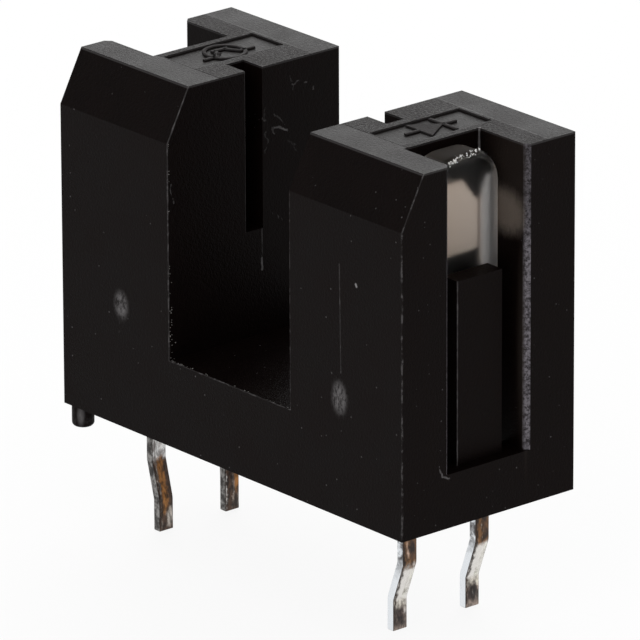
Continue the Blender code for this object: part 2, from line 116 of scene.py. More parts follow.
class Graph:
    """A node tree with short calls that add nodes and join them."""

    def __init__(self, tree: bpy.types.NodeTree) -> None:
        """Keeps the shader or geometry tree to write in."""
        self.tree = tree

    def feed(self, socket: Socket, value: Feed) -> None:
        """Joins another node's output to a socket, or sets the socket's value.

        Args:
            socket: the input to feed.
            value: an output socket, a number or numbers.
        """
        if isinstance(value, bpy.types.NodeSocket):
            self.tree.links.new(value, socket)
        else:
            socket.default_value = value

    def add(self, kind: str, feeds: Optional[Feeds] = None, **settings: object) -> bpy.types.Node:
        """Adds a node.

        Args:
            kind: the node's type name in Blender.
            feeds: what its inputs take, by their names or places.
            settings: properties to set on it.

        Returns:
            The new node.
        """
        node = self.tree.nodes.new(kind)
        for name, value in settings.items():
            setattr(node, name, value)
        for key, value in (feeds or {}).items():
            self.feed(node.inputs[key], value)
        return node

    def put(self, kind: str, feeds: Optional[Feeds] = None, **settings: object) -> Socket:
        """Adds a node as add does and gives its first output."""
        return self.add(kind, feeds, **settings).outputs[0]

    def entry(self) -> dict[str, Socket]:
        """Adds the group's input node and gives its sockets by name."""
        return {socket.name: socket for socket in self.add("NodeGroupInput").outputs if socket.name}

    def maths(self, operation: str, *values: Feed, clamp: bool = False) -> Socket:
        """Works out a number from numbers in order."""
        return self.put("ShaderNodeMath", dict(enumerate(values)), operation=operation, use_clamp=clamp)

    def times(self, first: Feed, second: Feed) -> Socket:
        """The product of two values."""
        return self.maths("MULTIPLY", first, second)

    def plus(self, first: Feed, second: Feed) -> Socket:
        """The sum of two values."""
        return self.maths("ADD", first, second)

    def less(self, first: Feed, second: Feed) -> Socket:
        """The first value without the second."""
        return self.maths("SUBTRACT", first, second)

    def most(self, first: Feed, second: Feed) -> Socket:
        """The larger of two values."""
        return self.maths("MAXIMUM", first, second)

    def vector(self, operation: str, *values: Feed) -> Socket:
        """Works out a vector from vectors in order."""
        return self.put("ShaderNodeVectorMath", dict(enumerate(values)), operation=operation)

    def measure(self, operation: str, *values: Feed) -> Socket:
        """Works out a number from vectors in order."""
        return self.add("ShaderNodeVectorMath", dict(enumerate(values)), operation=operation).outputs[1]

    def scale(self, value: Feed, factor: Feed) -> Socket:
        """A vector times a number."""
        return self.put("ShaderNodeVectorMath", {0: value, "Scale": factor}, operation="SCALE")

    def split(self, value: Feed) -> Outputs:
        """A vector's three parts."""
        return self.add("ShaderNodeSeparateXYZ", {0: value}).outputs

    def mark(self, name: str) -> Socket:
        """The number that a mesh carries under a name."""
        return self.add("ShaderNodeAttribute", attribute_name=name).outputs["Fac"]

    def blend(self, share: Feed, first: Feed, second: Feed) -> Socket:
        """Mixes a share of the second colour into the first.

        Args:
            share: how much of the second.
            first: the colour at 0.
            second: the colour at 1.

        Returns:
            The mixed colour's socket.
        """
        node = self.add("ShaderNodeMix", {0: share, 6: first, 7: second}, data_type="RGBA")
        return node.outputs[2]

    def between(self, value: Feed, low: Feed, high: Feed, start: Feed = 0.0, end: Feed = 1.0) -> Socket:
        """Eases a value from start to end while it runs from low to high.

        Args:
            value: what is read.
            low: where the change starts.
            high: where it ends.
            start: the result at low.
            end: the result at high.

        Returns:
            The eased value's socket.
        """
        feeds = dict(enumerate((value, low, high, start, end)))
        return self.put("ShaderNodeMapRange", feeds, interpolation_type="SMOOTHSTEP")

    def span(self, value: Feed, rise: Pair, fall: Pair) -> Socket:
        """Tells where a value lies between two slopes.

        Args:
            value: what is read.
            rise: where the first slope starts and ends.
            fall: where the second does.

        Returns:
            The socket of a mask that is 1 between the slopes and 0 beyond them.
        """
        return self.times(self.between(value, *rise), self.between(value, *fall, 1.0, 0.0))

    def noise(self, place: Feed, scale: Feed, detail: float = 2.0, rough: float = 0.5) -> Socket:
        """Adds a noise over a place.

        Args:
            place: the coordinates, in millimetres.
            scale: cells to the millimetre.
            detail: octaves of finer noise.
            rough: the weight of the finer octaves.

        Returns:
            The noise's value, about 0 to 1.
        """
        feeds = {"Vector": place, "Scale": scale, "Detail": detail, "Roughness": rough}
        return self.put("ShaderNodeTexNoise", feeds)

    def group(self, tree: bpy.types.NodeTree, **feeds: Feed) -> Outputs:
        """Places a node group, feeds its inputs by name and gives its outputs."""
        return self.add("ShaderNodeGroup", feeds, node_tree=tree).outputs


@dataclass(frozen=True)
class Port:
    """A named input or output of a node group."""

    name: str
    kind: str = "NodeSocketFloat"
    start: Union[float, Point, None] = None

    def open(self, tree: bpy.types.NodeTree, way: str) -> str:
        """Adds the port to a group.

        Args:
            tree: the group.
            way: INPUT or OUTPUT.

        Returns:
            The new socket's identifier.
        """
        socket = tree.interface.new_socket(self.name, in_out=way, socket_type=self.kind)
        if self.start is not None:
            socket.default_value = self.start
        return socket.identifier


class SurfaceEffects:
    """The effects that more than one finish uses, each a shader node group that is built once."""

    def __init__(self) -> None:
        """Builds every group."""
        mask = (Port("Mask"),)
        self.grain = self._group(
            "moulded_grain", self._grain, (Port("Scale", start=12.0),), (Port("Height"), Port("Tone"))
        )
        noises = (Port("Swing", VECTOR), Port("Wobble"), Port("Missing"), Port("Blotch"))
        self.wear = self._group("wear_noise", self._wear, (), noises)
        patch = (
            Port("Blotch", start=0.5),
            Port("Centre", VECTOR),
            Port("Reach", VECTOR),
            Port("Break", start=0.5),
            Port("Core", start=0.72),
            Port("Ragged", start=0.9),
        )
        self.rub = self._group("rub_patch", self._rub, patch, mask)
        line = (
            Port("Swing", VECTOR),
            Port("Wobble", start=0.5),
            Port("Missing", start=0.0),
            Port("Start", VECTOR),
            Port("End", VECTOR),
            Port("Width", start=0.04),
            Port("Break", start=0.0),
            Port("Wander", start=0.0),
        )
        self.scratch = self._group("scratch_line", self._scratch, line, mask)
        specks = (Port("Scale", start=2.0), Port("Size", start=0.05))
        self.dust = self._group("dust_specks", self._dust, specks, mask)
        bloom = (Port("Scale", start=3.0), Port("Amount", start=0.5))
        self.tarnish = self._group("tarnish_bloom", self._tarnish, bloom, (*mask, Port("Depth")))

    @staticmethod
    def _group(
        name: str,
        fill: Callable[[Graph, dict[str, Socket]], Sequence[Socket]],
        ports: Iterable[Port],
        results: Iterable[Port],
    ) -> bpy.types.NodeTree:
        """Makes a group whose first input is the place in millimetres.

        Args:
            name: the group's name.
            fill: writes the nodes and returns the outputs' sockets in order.
            ports: its further inputs.
            results: its outputs.

        Returns:
            The group's tree.
        """
        tree = bpy.data.node_groups.new(name, "ShaderNodeTree")
        for port in (Port("Place", VECTOR), *ports):
            port.open(tree, "INPUT")
        for result in results:
            result.open(tree, "OUTPUT")
        graph = Graph(tree)
        graph.add("NodeGroupOutput", dict(enumerate(fill(graph, graph.entry()))))
        return tree

    @staticmethod
    def _grain(graph: Graph, given: dict[str, Socket]) -> Sequence[Socket]:
        """Writes fine spark-eroded grain with slow cloudiness over it.

        Args:
            graph: the group's tree.
            given: its inputs by name.

        Returns:
            The grain's height and its tone.
        """
        place, scale = given["Place"], given["Scale"]
        fine = graph.noise(place, scale, 3.0, 0.6)
        slow = graph.noise(place, 0.9, 2.0, 0.5)
        speck = graph.noise(place, graph.times(scale, 2.3), 1.0, 0.4)
        height = graph.plus(fine, graph.times(speck, 0.5))
        return height, graph.plus(graph.times(fine, 0.6), graph.times(slow, 0.4))

    @staticmethod
    def _wear(graph: Graph, given: dict[str, Socket]) -> Sequence[Socket]:
        """Writes the noises that every mark on a surface shares.

        Args:
            graph: the group's tree.
            given: its inputs by name.

        Returns:
            A mark's swing to the side, its thickness, its gaps and its blotches.
        """
        place = given["Place"]
        bend = graph.add("ShaderNodeTexNoise", {"Vector": place, "Scale": 3.5, "Detail": 3.0})
        swing = graph.vector("SUBTRACT", bend.outputs["Color"], (0.5, 0.5, 0.5))
        wobble = graph.noise(place, 5.0, 3.0, 0.6)
        missing = graph.between(graph.noise(place, 3.2, 4.0, 0.75), 0.46, 0.60, 1.0, 0.0)
        swirl = graph.vector("MULTIPLY", place, (1.0, 1.0, 0.55))
        return swing, wobble, missing, graph.noise(swirl, 8.0, 4.0, 0.68)

    @staticmethod
    def _rub(graph: Graph, given: dict[str, Socket]) -> Sequence[Socket]:
        """Writes an oval patch that is whole out to its core, fades towards its rim and breaks up.

        Args:
            graph: the group's tree.
            given: its inputs by name.

        Returns:
            The patch's mask.
        """
        share = graph.vector("DIVIDE", graph.vector("SUBTRACT", given["Place"], given["Centre"]), given["Reach"])
        torn = graph.times(graph.less(given["Blotch"], 0.5), given["Ragged"])
        rim = graph.between(graph.plus(graph.measure("LENGTH", share), torn), given["Core"], 1.05, 1.0, 0.0)
        lost = graph.times(given["Break"], graph.less(1.0, graph.between(given["Blotch"], 0.40, 0.60)))
        return (graph.times(rim, graph.less(1.0, lost)),)

    @staticmethod
    def _scratch(graph: Graph, given: dict[str, Socket]) -> Sequence[Socket]:
        """Writes a thin line between two points that thins and breaks along its length.

        Args:
            graph: the group's tree.
            given: its inputs by name.

        Returns:
            The line's mask.
        """
        bent = graph.vector("ADD", given["Place"], graph.scale(given["Swing"], given["Wander"]))
        run = graph.vector("SUBTRACT", given["End"], given["Start"])
        offset = graph.vector("SUBTRACT", bent, given["Start"])
        along, whole = graph.measure("DOT_PRODUCT", offset, run), graph.measure("DOT_PRODUCT", run, run)
        aside = graph.vector("SUBTRACT", offset, graph.scale(run, graph.maths("DIVIDE", along, whole, clamp=True)))
        width = graph.times(given["Width"], graph.plus(given["Wobble"], 0.35))
        line = graph.between(graph.maths("DIVIDE", graph.measure("LENGTH", aside), width), 0.45, 1.1, 1.0, 0.0)
        return (graph.times(line, graph.less(1.0, graph.times(given["Break"], given["Missing"]))),)

    @staticmethod
    def _dust(graph: Graph, given: dict[str, Socket]) -> Sequence[Socket]:
        """Writes sparse round specks, one in every fifth cell.

        Args:
            graph: the group's tree.
            given: its inputs by name.

        Returns:
            The specks' mask.
        """
        cells = graph.add("ShaderNodeTexVoronoi", {"Vector": given["Place"], "Scale": given["Scale"]})
        parts = graph.add("ShaderNodeSeparateColor", {0: cells.outputs["Color"]}).outputs
        reach = graph.times(given["Size"], graph.plus(parts[1], 0.3))
        spot = graph.maths("LESS_THAN", cells.outputs["Distance"], reach)
        return (graph.times(graph.maths("GREATER_THAN", parts[0], 0.80), spot),)

    @staticmethod
    def _tarnish(graph: Graph, given: dict[str, Socket]) -> Sequence[Socket]:
        """Writes mottled bloom with streaks along the metal.

        Args:
            graph: the group's tree.
            given: its inputs by name.

        Returns:
            The bloom's mask and how deep it is.
        """
        stretch = graph.vector("MULTIPLY", given["Place"], (1.0, 1.0, 0.45))
        cloud = graph.noise(stretch, given["Scale"], 5.0, 0.68)
        low = graph.less(0.85, given["Amount"])
        mask = graph.between(cloud, low, graph.plus(low, 0.22))
        return mask, graph.noise(stretch, graph.times(given["Scale"], 2.6), 3.0, 0.6)


@dataclass(frozen=True)
class Surface:
    """What a finish writes on: a material's tree and Principled shader, the surface point in the object's own
    millimetres and the shared node groups."""

    graph: Graph
    shader: bpy.types.Node
    place: Socket
    effects: SurfaceEffects

    def feed(self, name: str, value: Feed) -> None:
        """Feeds one of the shader's inputs."""
        self.graph.feed(self.shader.inputs[name], value)

    def bump(self, height: Socket, depth: float) -> None:
        """Joins a height to the shader's normal.

        Args:
            height: the height, about 0 to 1.
            depth: how many millimetres a height of 1 stands proud.
        """
        feeds = {"Strength": 1.0, "Distance": depth * MM, "Height": height}
        self.feed("Normal", self.graph.put("ShaderNodeBump", feeds))


@dataclass(frozen=True)
class Finish:
    """A named material on the Principled shader. Subclasses add the pattern."""

    name: str
    colour: Point
    roughness: float
    metallic: float = 0.0
    specular: float = 0.5
    transmission: float = 0.0
    refraction: float = 1.5
    gloss_tint: float = 1.0

    def build(self, effects: SurfaceEffects) -> bpy.types.Material:
        """Makes the material.

        Args:
            effects: the shared node groups.

        Returns:
            The material, with plain values on the shader's own sockets and the pattern joined to it.
        """
        material = bpy.data.materials.new(self.name)
        material.use_nodes = True
        graph = Graph(material.node_tree)
        shader = material.node_tree.nodes["Principled BSDF"]
        spot = graph.add("ShaderNodeTexCoord").outputs["Object"]
        surface = Surface(graph, shader, graph.scale(spot, 1.0 / MM), effects)
        plain = {
            "Base Color": opaque(self.colour),
            "Roughness": self.roughness,
            "Metallic": self.metallic,
            "Specular IOR Level": self.specular,
            "Transmission Weight": self.transmission,
            "IOR": self.refraction,
            "Specular Tint": opaque((self.gloss_tint,) * 3),
        }
        for name, value in plain.items():
            surface.feed(name, value)
        self.dress(surface)
        return material

    def dress(self, surface: Surface) -> None:
        """Joins the finish's pattern to the shader.

        Args:
            surface: the material to write on.
        """
        raise NotImplementedError


@dataclass(frozen=True)
class Rub:
    """An oval patch: its centre and half sizes in millimetres, how strong it is, how much it breaks up, the
    share of its reach that is whole and how ragged its rim is. Some are worn rubs, one is a painted highlight on
    the peg and three are painted reflections on the window's back jamb."""

    centre: Point
    reach: Point
    strength: float
    broken: float = 0.5
    core: float = 0.72
    ragged: float = 0.9


@dataclass(frozen=True)
class Scratch:
    """A thin line between two points, a scratch on some faces and a painted highlight along some edges: its ends and
    width in millimetres, its strength, how broken it is and how many millimetres it wanders."""

    start: Point
    end: Point
    width: float
    strength: float
    broken: float = 0.0
    wander: float = 0.0


@dataclass(frozen=True)
class MouldedBlack(Finish):
    """Black moulding: spark-eroded grain, a coarser band across the tops, rubs, scratches and dust, with painted
    highlights along edges and on the peg, painted reflections on the window's back jamb and painted light on the low
    walls at the tops.
    """

    grain_scale: float = 13.0
    grain_depth: float = 0.010
    grain_dark: float = 0.15
    grain_pale: float = 1.35
    dust_scale: float = 5.0
    dust_size: float = 0.085
    dust_light: float = 0.20
    # The strength of the painted highlight along the ridges of the rounded edges.
    edge_light: float = 0.07
    band_depth: float = 3.2
    band_scale: float = 12.5
    band_colour: Point = (0.045, 0.041, 0.041)
    band_ends: Pair = (-1.18, 2.08)
    # The colour of wear and of the painted highlights laid in as wear.
    worn_colour: Point = (0.36, 0.345, 0.35)
    # The colour of the painted reflections of the package on the window's back jamb wall.
    haze_colour: Point = (0.30, 0.25, 0.21)
    flare_colour: Point = (0.20, 0.185, 0.205)
    flare_fade: tuple[float, float, float] = (6.6, 8.8, 0.50)
    flare_inner: tuple[float, float, float] = (1.31, 1.38, 0.25)
    strip_share: float = 0.18
    wall_ends: Pair = (9.945, 9.992)
    wall_slope: float = 0.004
    # The low walls at the tops are painted lighter than the body: painted light that softens their shade.
    wall_colour: Point = (0.036, 0.033, 0.033)
    top_height: float = 9.96
    panel_x: Pair = (3.57, 4.88)
    panel_y: Pair = (-1.15, 1.96)
    panel_slope: float = 0.02
    # Painted reflections: warm patches on the window's back jamb wall where the bright package shows in it.
    hazes: tuple[Rub, ...] = (
        Rub((6.12, 1.31, 7.98), (1.12, 0.10, 0.80), 0.40, 0.0, 0.36, 0.40),
        Rub((6.60, 1.31, 9.30), (1.60, 0.10, 1.70), 0.036, 0.0, 0.20, 0.10),
        Rub((6.95, 1.31, 4.40), (0.42, 0.10, 4.20), 0.085, 0.0, 0.0, 0.10),
    )
    rubs: tuple[Rub, ...] = (
        Rub((4.50, -3.0, 3.33), (0.38, 0.20, 0.58), 0.36, 0.85, 0.45, 1.1),
        Rub((-4.51, -3.0, 3.48), (0.37, 0.20, 0.50), 0.36, 0.9, 0.40, 1.2),
        # A painted highlight down the front of the peg.
        Rub((-6.45, -2.87, -0.25), (0.14, 0.14, 0.40), 0.30, 0.3, 0.20, 0.5),
    )
    scratches: tuple[Scratch, ...] = (
        Scratch((4.51, -3.0, 7.05), (4.56, -3.0, 4.05), 0.030, 0.13, 0.6),
        Scratch((4.18, -3.0, 3.96), (4.44, -3.0, 3.70), 0.034, 0.26, 0.3, 0.40),
        Scratch((-4.62, -3.0, 3.10), (-4.60, -3.0, 2.72), 0.034, 0.07, 0.4, 0.20),
        Scratch((5.17, -3.0, 6.66), (5.19, -3.0, 6.62), 0.06, 0.60),
        Scratch((7.0, -1.71, 1.80), (7.0, -1.60, 1.49), 0.030, 0.24, 0.2, 0.15),
        Scratch((7.0, -1.60, 1.49), (7.0, -1.35, 1.38), 0.030, 0.24, 0.2, 0.15),
        Scratch((-2.5, 0.25, 8.65), (-2.5, 0.74, 8.04), 0.030, 0.14, 0.4, 0.30),
        Scratch((-2.5, 0.70, 8.20), (-2.5, 1.24, 8.05), 0.055, 0.26, 0.3, 0.30),
        Scratch((-2.5, 0.70, 8.60), (-2.5, 1.24, 8.05), 0.030, 0.16, 0.5, 0.25),
        Scratch((-2.5, 0.40, 8.85), (-2.5, 0.44, 7.60), 0.040, 0.10, 0.6, 0.35),
        Scratch((-2.5, 0.26, 5.60), (-2.5, 0.26, 4.30), 0.026, 0.15, 0.5, 0.08),
        Scratch((-2.5, 0.26, 4.60), (-2.5, 0.26, 4.28), 0.045, 0.36, 0.3, 0.06),
        Scratch((-2.5, 0.66, 5.80), (-2.5, 1.00, 5.50), 0.030, 0.11, 0.6, 0.40),
        Scratch((-2.5, 1.15, 9.25), (-2.5, 1.65, 9.30), 0.034, 0.17, 0.5, 0.45),
        Scratch((-2.5, 1.30, 9.60), (-2.5, 1.36, 9.05), 0.026, 0.13, 0.5, 0.40),
        Scratch((-2.5, 1.70, 9.30), (-2.5, 2.10, 9.05), 0.034, 0.19, 0.5, 0.45),
        Scratch((-2.5, 1.20, 7.70), (-2.5, 1.55, 7.45), 0.060, 0.09, 0.7, 0.50),
        Scratch((-2.5, -2.88, 7.40), (-2.5, -2.80, 6.85), 0.026, 0.20, 0.3, 0.20),
        # The next eight lines run along the slit, the slot's front edges, the end's front edge and bevel and the
        # finger's edge: painted edge highlights.
        Scratch((-2.5, -0.30, 10.0), (-2.5, -0.30, 5.45), 0.026, 0.11, 0.4),
        Scratch((7.0, -3.0, 0.0), (7.0, -3.0, 8.55), 0.052, 0.19, 0.95, 0.07),
        Scratch((7.0, -3.0, 8.55), (7.0, -2.25, 10.0), 0.036, 0.18, 0.7, 0.04),
        Scratch((-2.5, -3.0, 8.55), (-2.5, -2.25, 10.0), 0.038, 0.26, 0.6, 0.04),
        Scratch((-2.5, -3.0, 2.45), (-2.5, -3.0, 8.55), 0.038, 0.22, 0.7, 0.05),
        Scratch((-2.5, -3.0, 2.45), (2.5, -3.0, 2.45), 0.034, 0.18, 0.8, 0.05),
        Scratch((2.5, -3.0, 2.45), (2.5, -3.0, 8.55), 0.034, 0.13, 0.8, 0.04),
        Scratch((6.64, -0.78, 6.62), (6.64, -0.78, 1.50), 0.036, 0.24, 0.5, 0.03),
        Scratch((5.12, 1.31, 10.0), (5.12, 1.31, 9.45), 0.055, 0.80, 0.6, 0.05),
    )

    def dress(self, surface: Surface) -> None:
        """Joins grain, top band, wear, dust, painted highlights, painted reflections and the painted light on the low
        walls to the shader.

        Args:
            surface: the material to write on.
        """
        graph, place, effects = surface.graph, surface.place, surface.effects
        grain = graph.group(effects.grain, Place=place, Scale=self.grain_scale)
        noises = graph.group(effects.wear, Place=place)
        band, flare, worn_and_highlights = self._top_band(surface), self._flare(surface), self._worn(surface, noises)
        dust = graph.group(effects.dust, Place=place, Scale=self.dust_scale, Size=self.dust_size)["Mask"]
        # A painted highlight along the ridges of the rounded edges, broken up by noise.
        edge = graph.times(graph.mark("edge"), graph.between(graph.noise(place, 6.0, 4.0, 0.7), 0.42, 0.70))
        light = graph.most(worn_and_highlights, graph.times(dust, self.dust_light))
        light = graph.most(light, graph.times(edge, self.edge_light))
        shades = opaque(self.colour, self.grain_dark), opaque(self.colour, self.grain_pale)
        body = graph.blend(grain["Tone"], *shades)
        pitted = graph.noise(place, self.band_scale, 2.0, 0.75)
        flecks = graph.times(band, graph.between(pitted, 0.40, 0.70))
        body = graph.blend(flecks, body, opaque(self.band_colour))
        # Painted light on the low walls of the panel recess and the signs, softening their shade.
        foot, head = self.wall_ends
        lit_walls = graph.span(graph.split(place)[2], (foot, foot + self.wall_slope), (head, head + self.wall_slope))
        body = graph.blend(lit_walls, body, opaque(self.wall_colour))
        # Painted reflections of the package on the back jamb wall, laid into the body colour.
        for reflection in self.hazes:
            body = graph.blend(self._rub_mask(surface, noises, reflection), body, opaque(self.haze_colour))
        torn = graph.between(graph.noise(place, 12.0, 4.0, 0.75), 0.36, 0.64, 0.10, 1.0)
        body = graph.blend(graph.times(flare, torn), body, opaque(self.flare_colour))
        surface.feed("Base Color", graph.blend(light, body, opaque(self.worn_colour)))
        rough = graph.between(grain["Tone"], 0.3, 0.7, self.roughness - 0.05, self.roughness + 0.06)
        rough = graph.plus(rough, graph.times(band, 0.10))
        surface.feed("Roughness", graph.plus(rough, graph.times(light, 0.25)))
        coarse = graph.times(pitted, graph.most(graph.times(band, self.band_depth), flare))
        scuffed = graph.times(worn_and_highlights, graph.noise(place, 22.0, 2.0, 0.6))
        surface.bump(graph.plus(graph.plus(grain["Height"], coarse), scuffed), self.grain_depth)

    def _flare(self, surface: Surface) -> Socket:
        """The slanted strips beside the end windows, weaker near the top and next to the window.

        Args:
            surface: the material to write on.

        Returns:
            The mask's socket.
        """
        graph = surface.graph
        parts = graph.split(surface.place)
        fade_low, fade_high, faded = self.flare_fade
        inner_low, inner_high, inner_share = self.flare_inner
        flare = graph.times(graph.mark("flare"), graph.between(parts[2], fade_low, fade_high, 1.0, faded))
        aside = graph.maths("ABSOLUTE", parts[1])
        return graph.times(flare, graph.between(aside, inner_low, inner_high, inner_share, 1.0))

    def _top_band(self, surface: Surface) -> Socket:
        """Where the tops carry the coarser grain: between the front and back strips, round the panel.

        Args:
            surface: the material to write on.

        Returns:
            The mask's socket.
        """
        graph = surface.graph
        parts = graph.split(surface.place)
        across, slope = graph.maths("ABSOLUTE", parts[0]), self.panel_slope
        on_top = graph.between(parts[2], self.top_height, self.top_height + 0.03)
        front, back = self.band_ends
        inside = graph.span(parts[1], (front - 0.03, front + 0.03), (back - 0.05, back + 0.05))
        sides = (
            graph.span(value, (low - slope, low), (high, high + slope))
            for value, (low, high) in ((across, self.panel_x), (parts[1], self.panel_y))
        )
        coarse = graph.times(inside, graph.less(1.0, graph.times(*sides)))
        return graph.times(on_top, graph.most(coarse, self.strip_share))

    def _worn(self, surface: Surface, noises: Outputs) -> Socket:
        """The rubs, the scratches and the painted highlights on the peg and along edges as one mask.

        Args:
            surface: the material to write on.
            noises: the outputs of the shared wear noise.

        Returns:
            The mask's socket. A line wanders a little more over earlier marks, which makes the renderer work the
            lines out one by one. Side by side they need more room than it has, and the material goes black.
        """
        graph = surface.graph
        worn_and_highlights: Feed = 0.0
        for rub in self.rubs:
            worn_and_highlights = graph.most(self._rub_mask(surface, noises, rub), worn_and_highlights)
        for line in self.scratches:
            mask = graph.group(
                surface.effects.scratch,
                Place=surface.place,
                Swing=noises["Swing"],
                Wobble=noises["Wobble"],
                Missing=noises["Missing"],
                Start=line.start,
                End=line.end,
                Width=line.width,
                Break=line.broken,
                Wander=graph.maths("MULTIPLY_ADD", worn_and_highlights, 0.02, line.wander),
            )["Mask"]
            worn_and_highlights = graph.most(graph.times(mask, line.strength), worn_and_highlights)
        return worn_and_highlights

    @staticmethod
    def _rub_mask(surface: Surface, noises: Outputs, rub: Rub) -> Socket:
        """Where one oval patch shows, times its strength: a rub, a painted highlight or a painted reflection.

        Args:
            surface: the material to write on.
            noises: the outputs of the shared wear noise.
            rub: the patch, a rub, a painted highlight or a painted reflection.

        Returns:
            The mask's socket.
        """
        mask = surface.graph.group(
            surface.effects.rub,
            Place=surface.place,
            Blotch=noises["Blotch"],
            Centre=rub.centre,
            Reach=rub.reach,
            Break=rub.broken,
            Core=rub.core,
            Ragged=rub.ragged,
        )["Mask"]
        return surface.graph.times(mask, rub.strength)


@dataclass(frozen=True)
class CastEpoxy(Finish):
    """Cast epoxy with faint flow marks on its skin, browner over its top and duller there and on its sides."""

    skin_depth: float = 0.002
    top_tint: Point = (0.10, 0.080, 0.066)
    top_span: Pair = (9.56, 9.72)
    top_dull: float = 0.62
    side_span: Pair = (0.95, 1.20)
    side_dull: float = 0.40

    def dress(self, surface: Surface) -> None:
        """Joins flow marks, the brown top and the dull top and sides to the shader.

        Args:
            surface: the material to write on.
        """
        graph, place = surface.graph, surface.place
        parts = graph.split(place)
        topped = graph.between(parts[2], *self.top_span)
        sided = graph.between(graph.maths("ABSOLUTE", parts[1]), *self.side_span)
        brown = tuple(first * second for first, second in zip(self.colour, self.top_tint))
        surface.feed("Base Color", graph.blend(topped, opaque(self.colour), opaque(brown)))
        flow = graph.noise(graph.vector("MULTIPLY", place, (1.0, 1.0, 0.4)), 2.4, 3.0, 0.5)
        rough = graph.between(flow, 0.3, 0.75, self.roughness, self.roughness + 0.08)
        dulled = graph.most(graph.times(topped, self.top_dull), graph.times(sided, self.side_dull))
        surface.feed("Roughness", graph.plus(rough, dulled))
        surface.bump(flow, self.skin_depth)


@dataclass(frozen=True)
class Stain:
    """A stretch of a lead's wide face painted over, a stain on most rows, painted glints on one and a painted shade
    line
    on another: its heights, colour and cover, its half width along Y and how far its middle lies from the lead's own."""

    low: float
    high: float
    colour: Point
    cover: float
    half: float = 0.4
    shift: float = 0.0


# The emitter's stains, with one row of painted glints and one row of painted shade.
EMITTER_STAINS_AND_PAINTED_LIGHT = (
    Stain(-1.62, 0.40, (0.13, 0.062, 0.022), 0.95),
    Stain(-1.45, 0.40, (0.045, 0.022, 0.012), 0.70, 0.12, 0.10),
    # Pinkish flecks along a line on the upper stretch: painted glints.
    Stain(-1.50, -0.20, (0.42, 0.29, 0.22), 0.30, 0.06, -0.08),
    Stain(-2.70, -1.75, (0.62, 0.54, 0.46), 0.55, 0.08, 0.15),
    Stain(-3.60, -2.72, (0.24, 0.19, 0.16), 0.90),
    Stain(-2.88, -2.68, (0.58, 0.50, 0.43), 0.80),
    Stain(-3.34, -2.88, (0.040, 0.026, 0.022), 0.95, 0.15),
    # A dark line along the wide face's front edge: painted shade.
    Stain(-3.40, 0.40, (0.026, 0.016, 0.011), 0.97, 0.045, -0.20),
)
SENSOR_STAINS = (
    Stain(-1.50, 0.40, (0.60, 0.54, 0.52), 0.75),
    Stain(-3.60, -1.50, (0.052, 0.028, 0.017), 0.99),
    Stain(-2.95, -1.50, (0.25, 0.105, 0.026), 0.88, 0.10, -0.02),
    Stain(-3.40, -1.60, (0.42, 0.36, 0.31), 0.55, 0.022, -0.17),
    Stain(-3.30, -2.90, (0.44, 0.40, 0.36), 0.75, 0.09, 0.11),
)


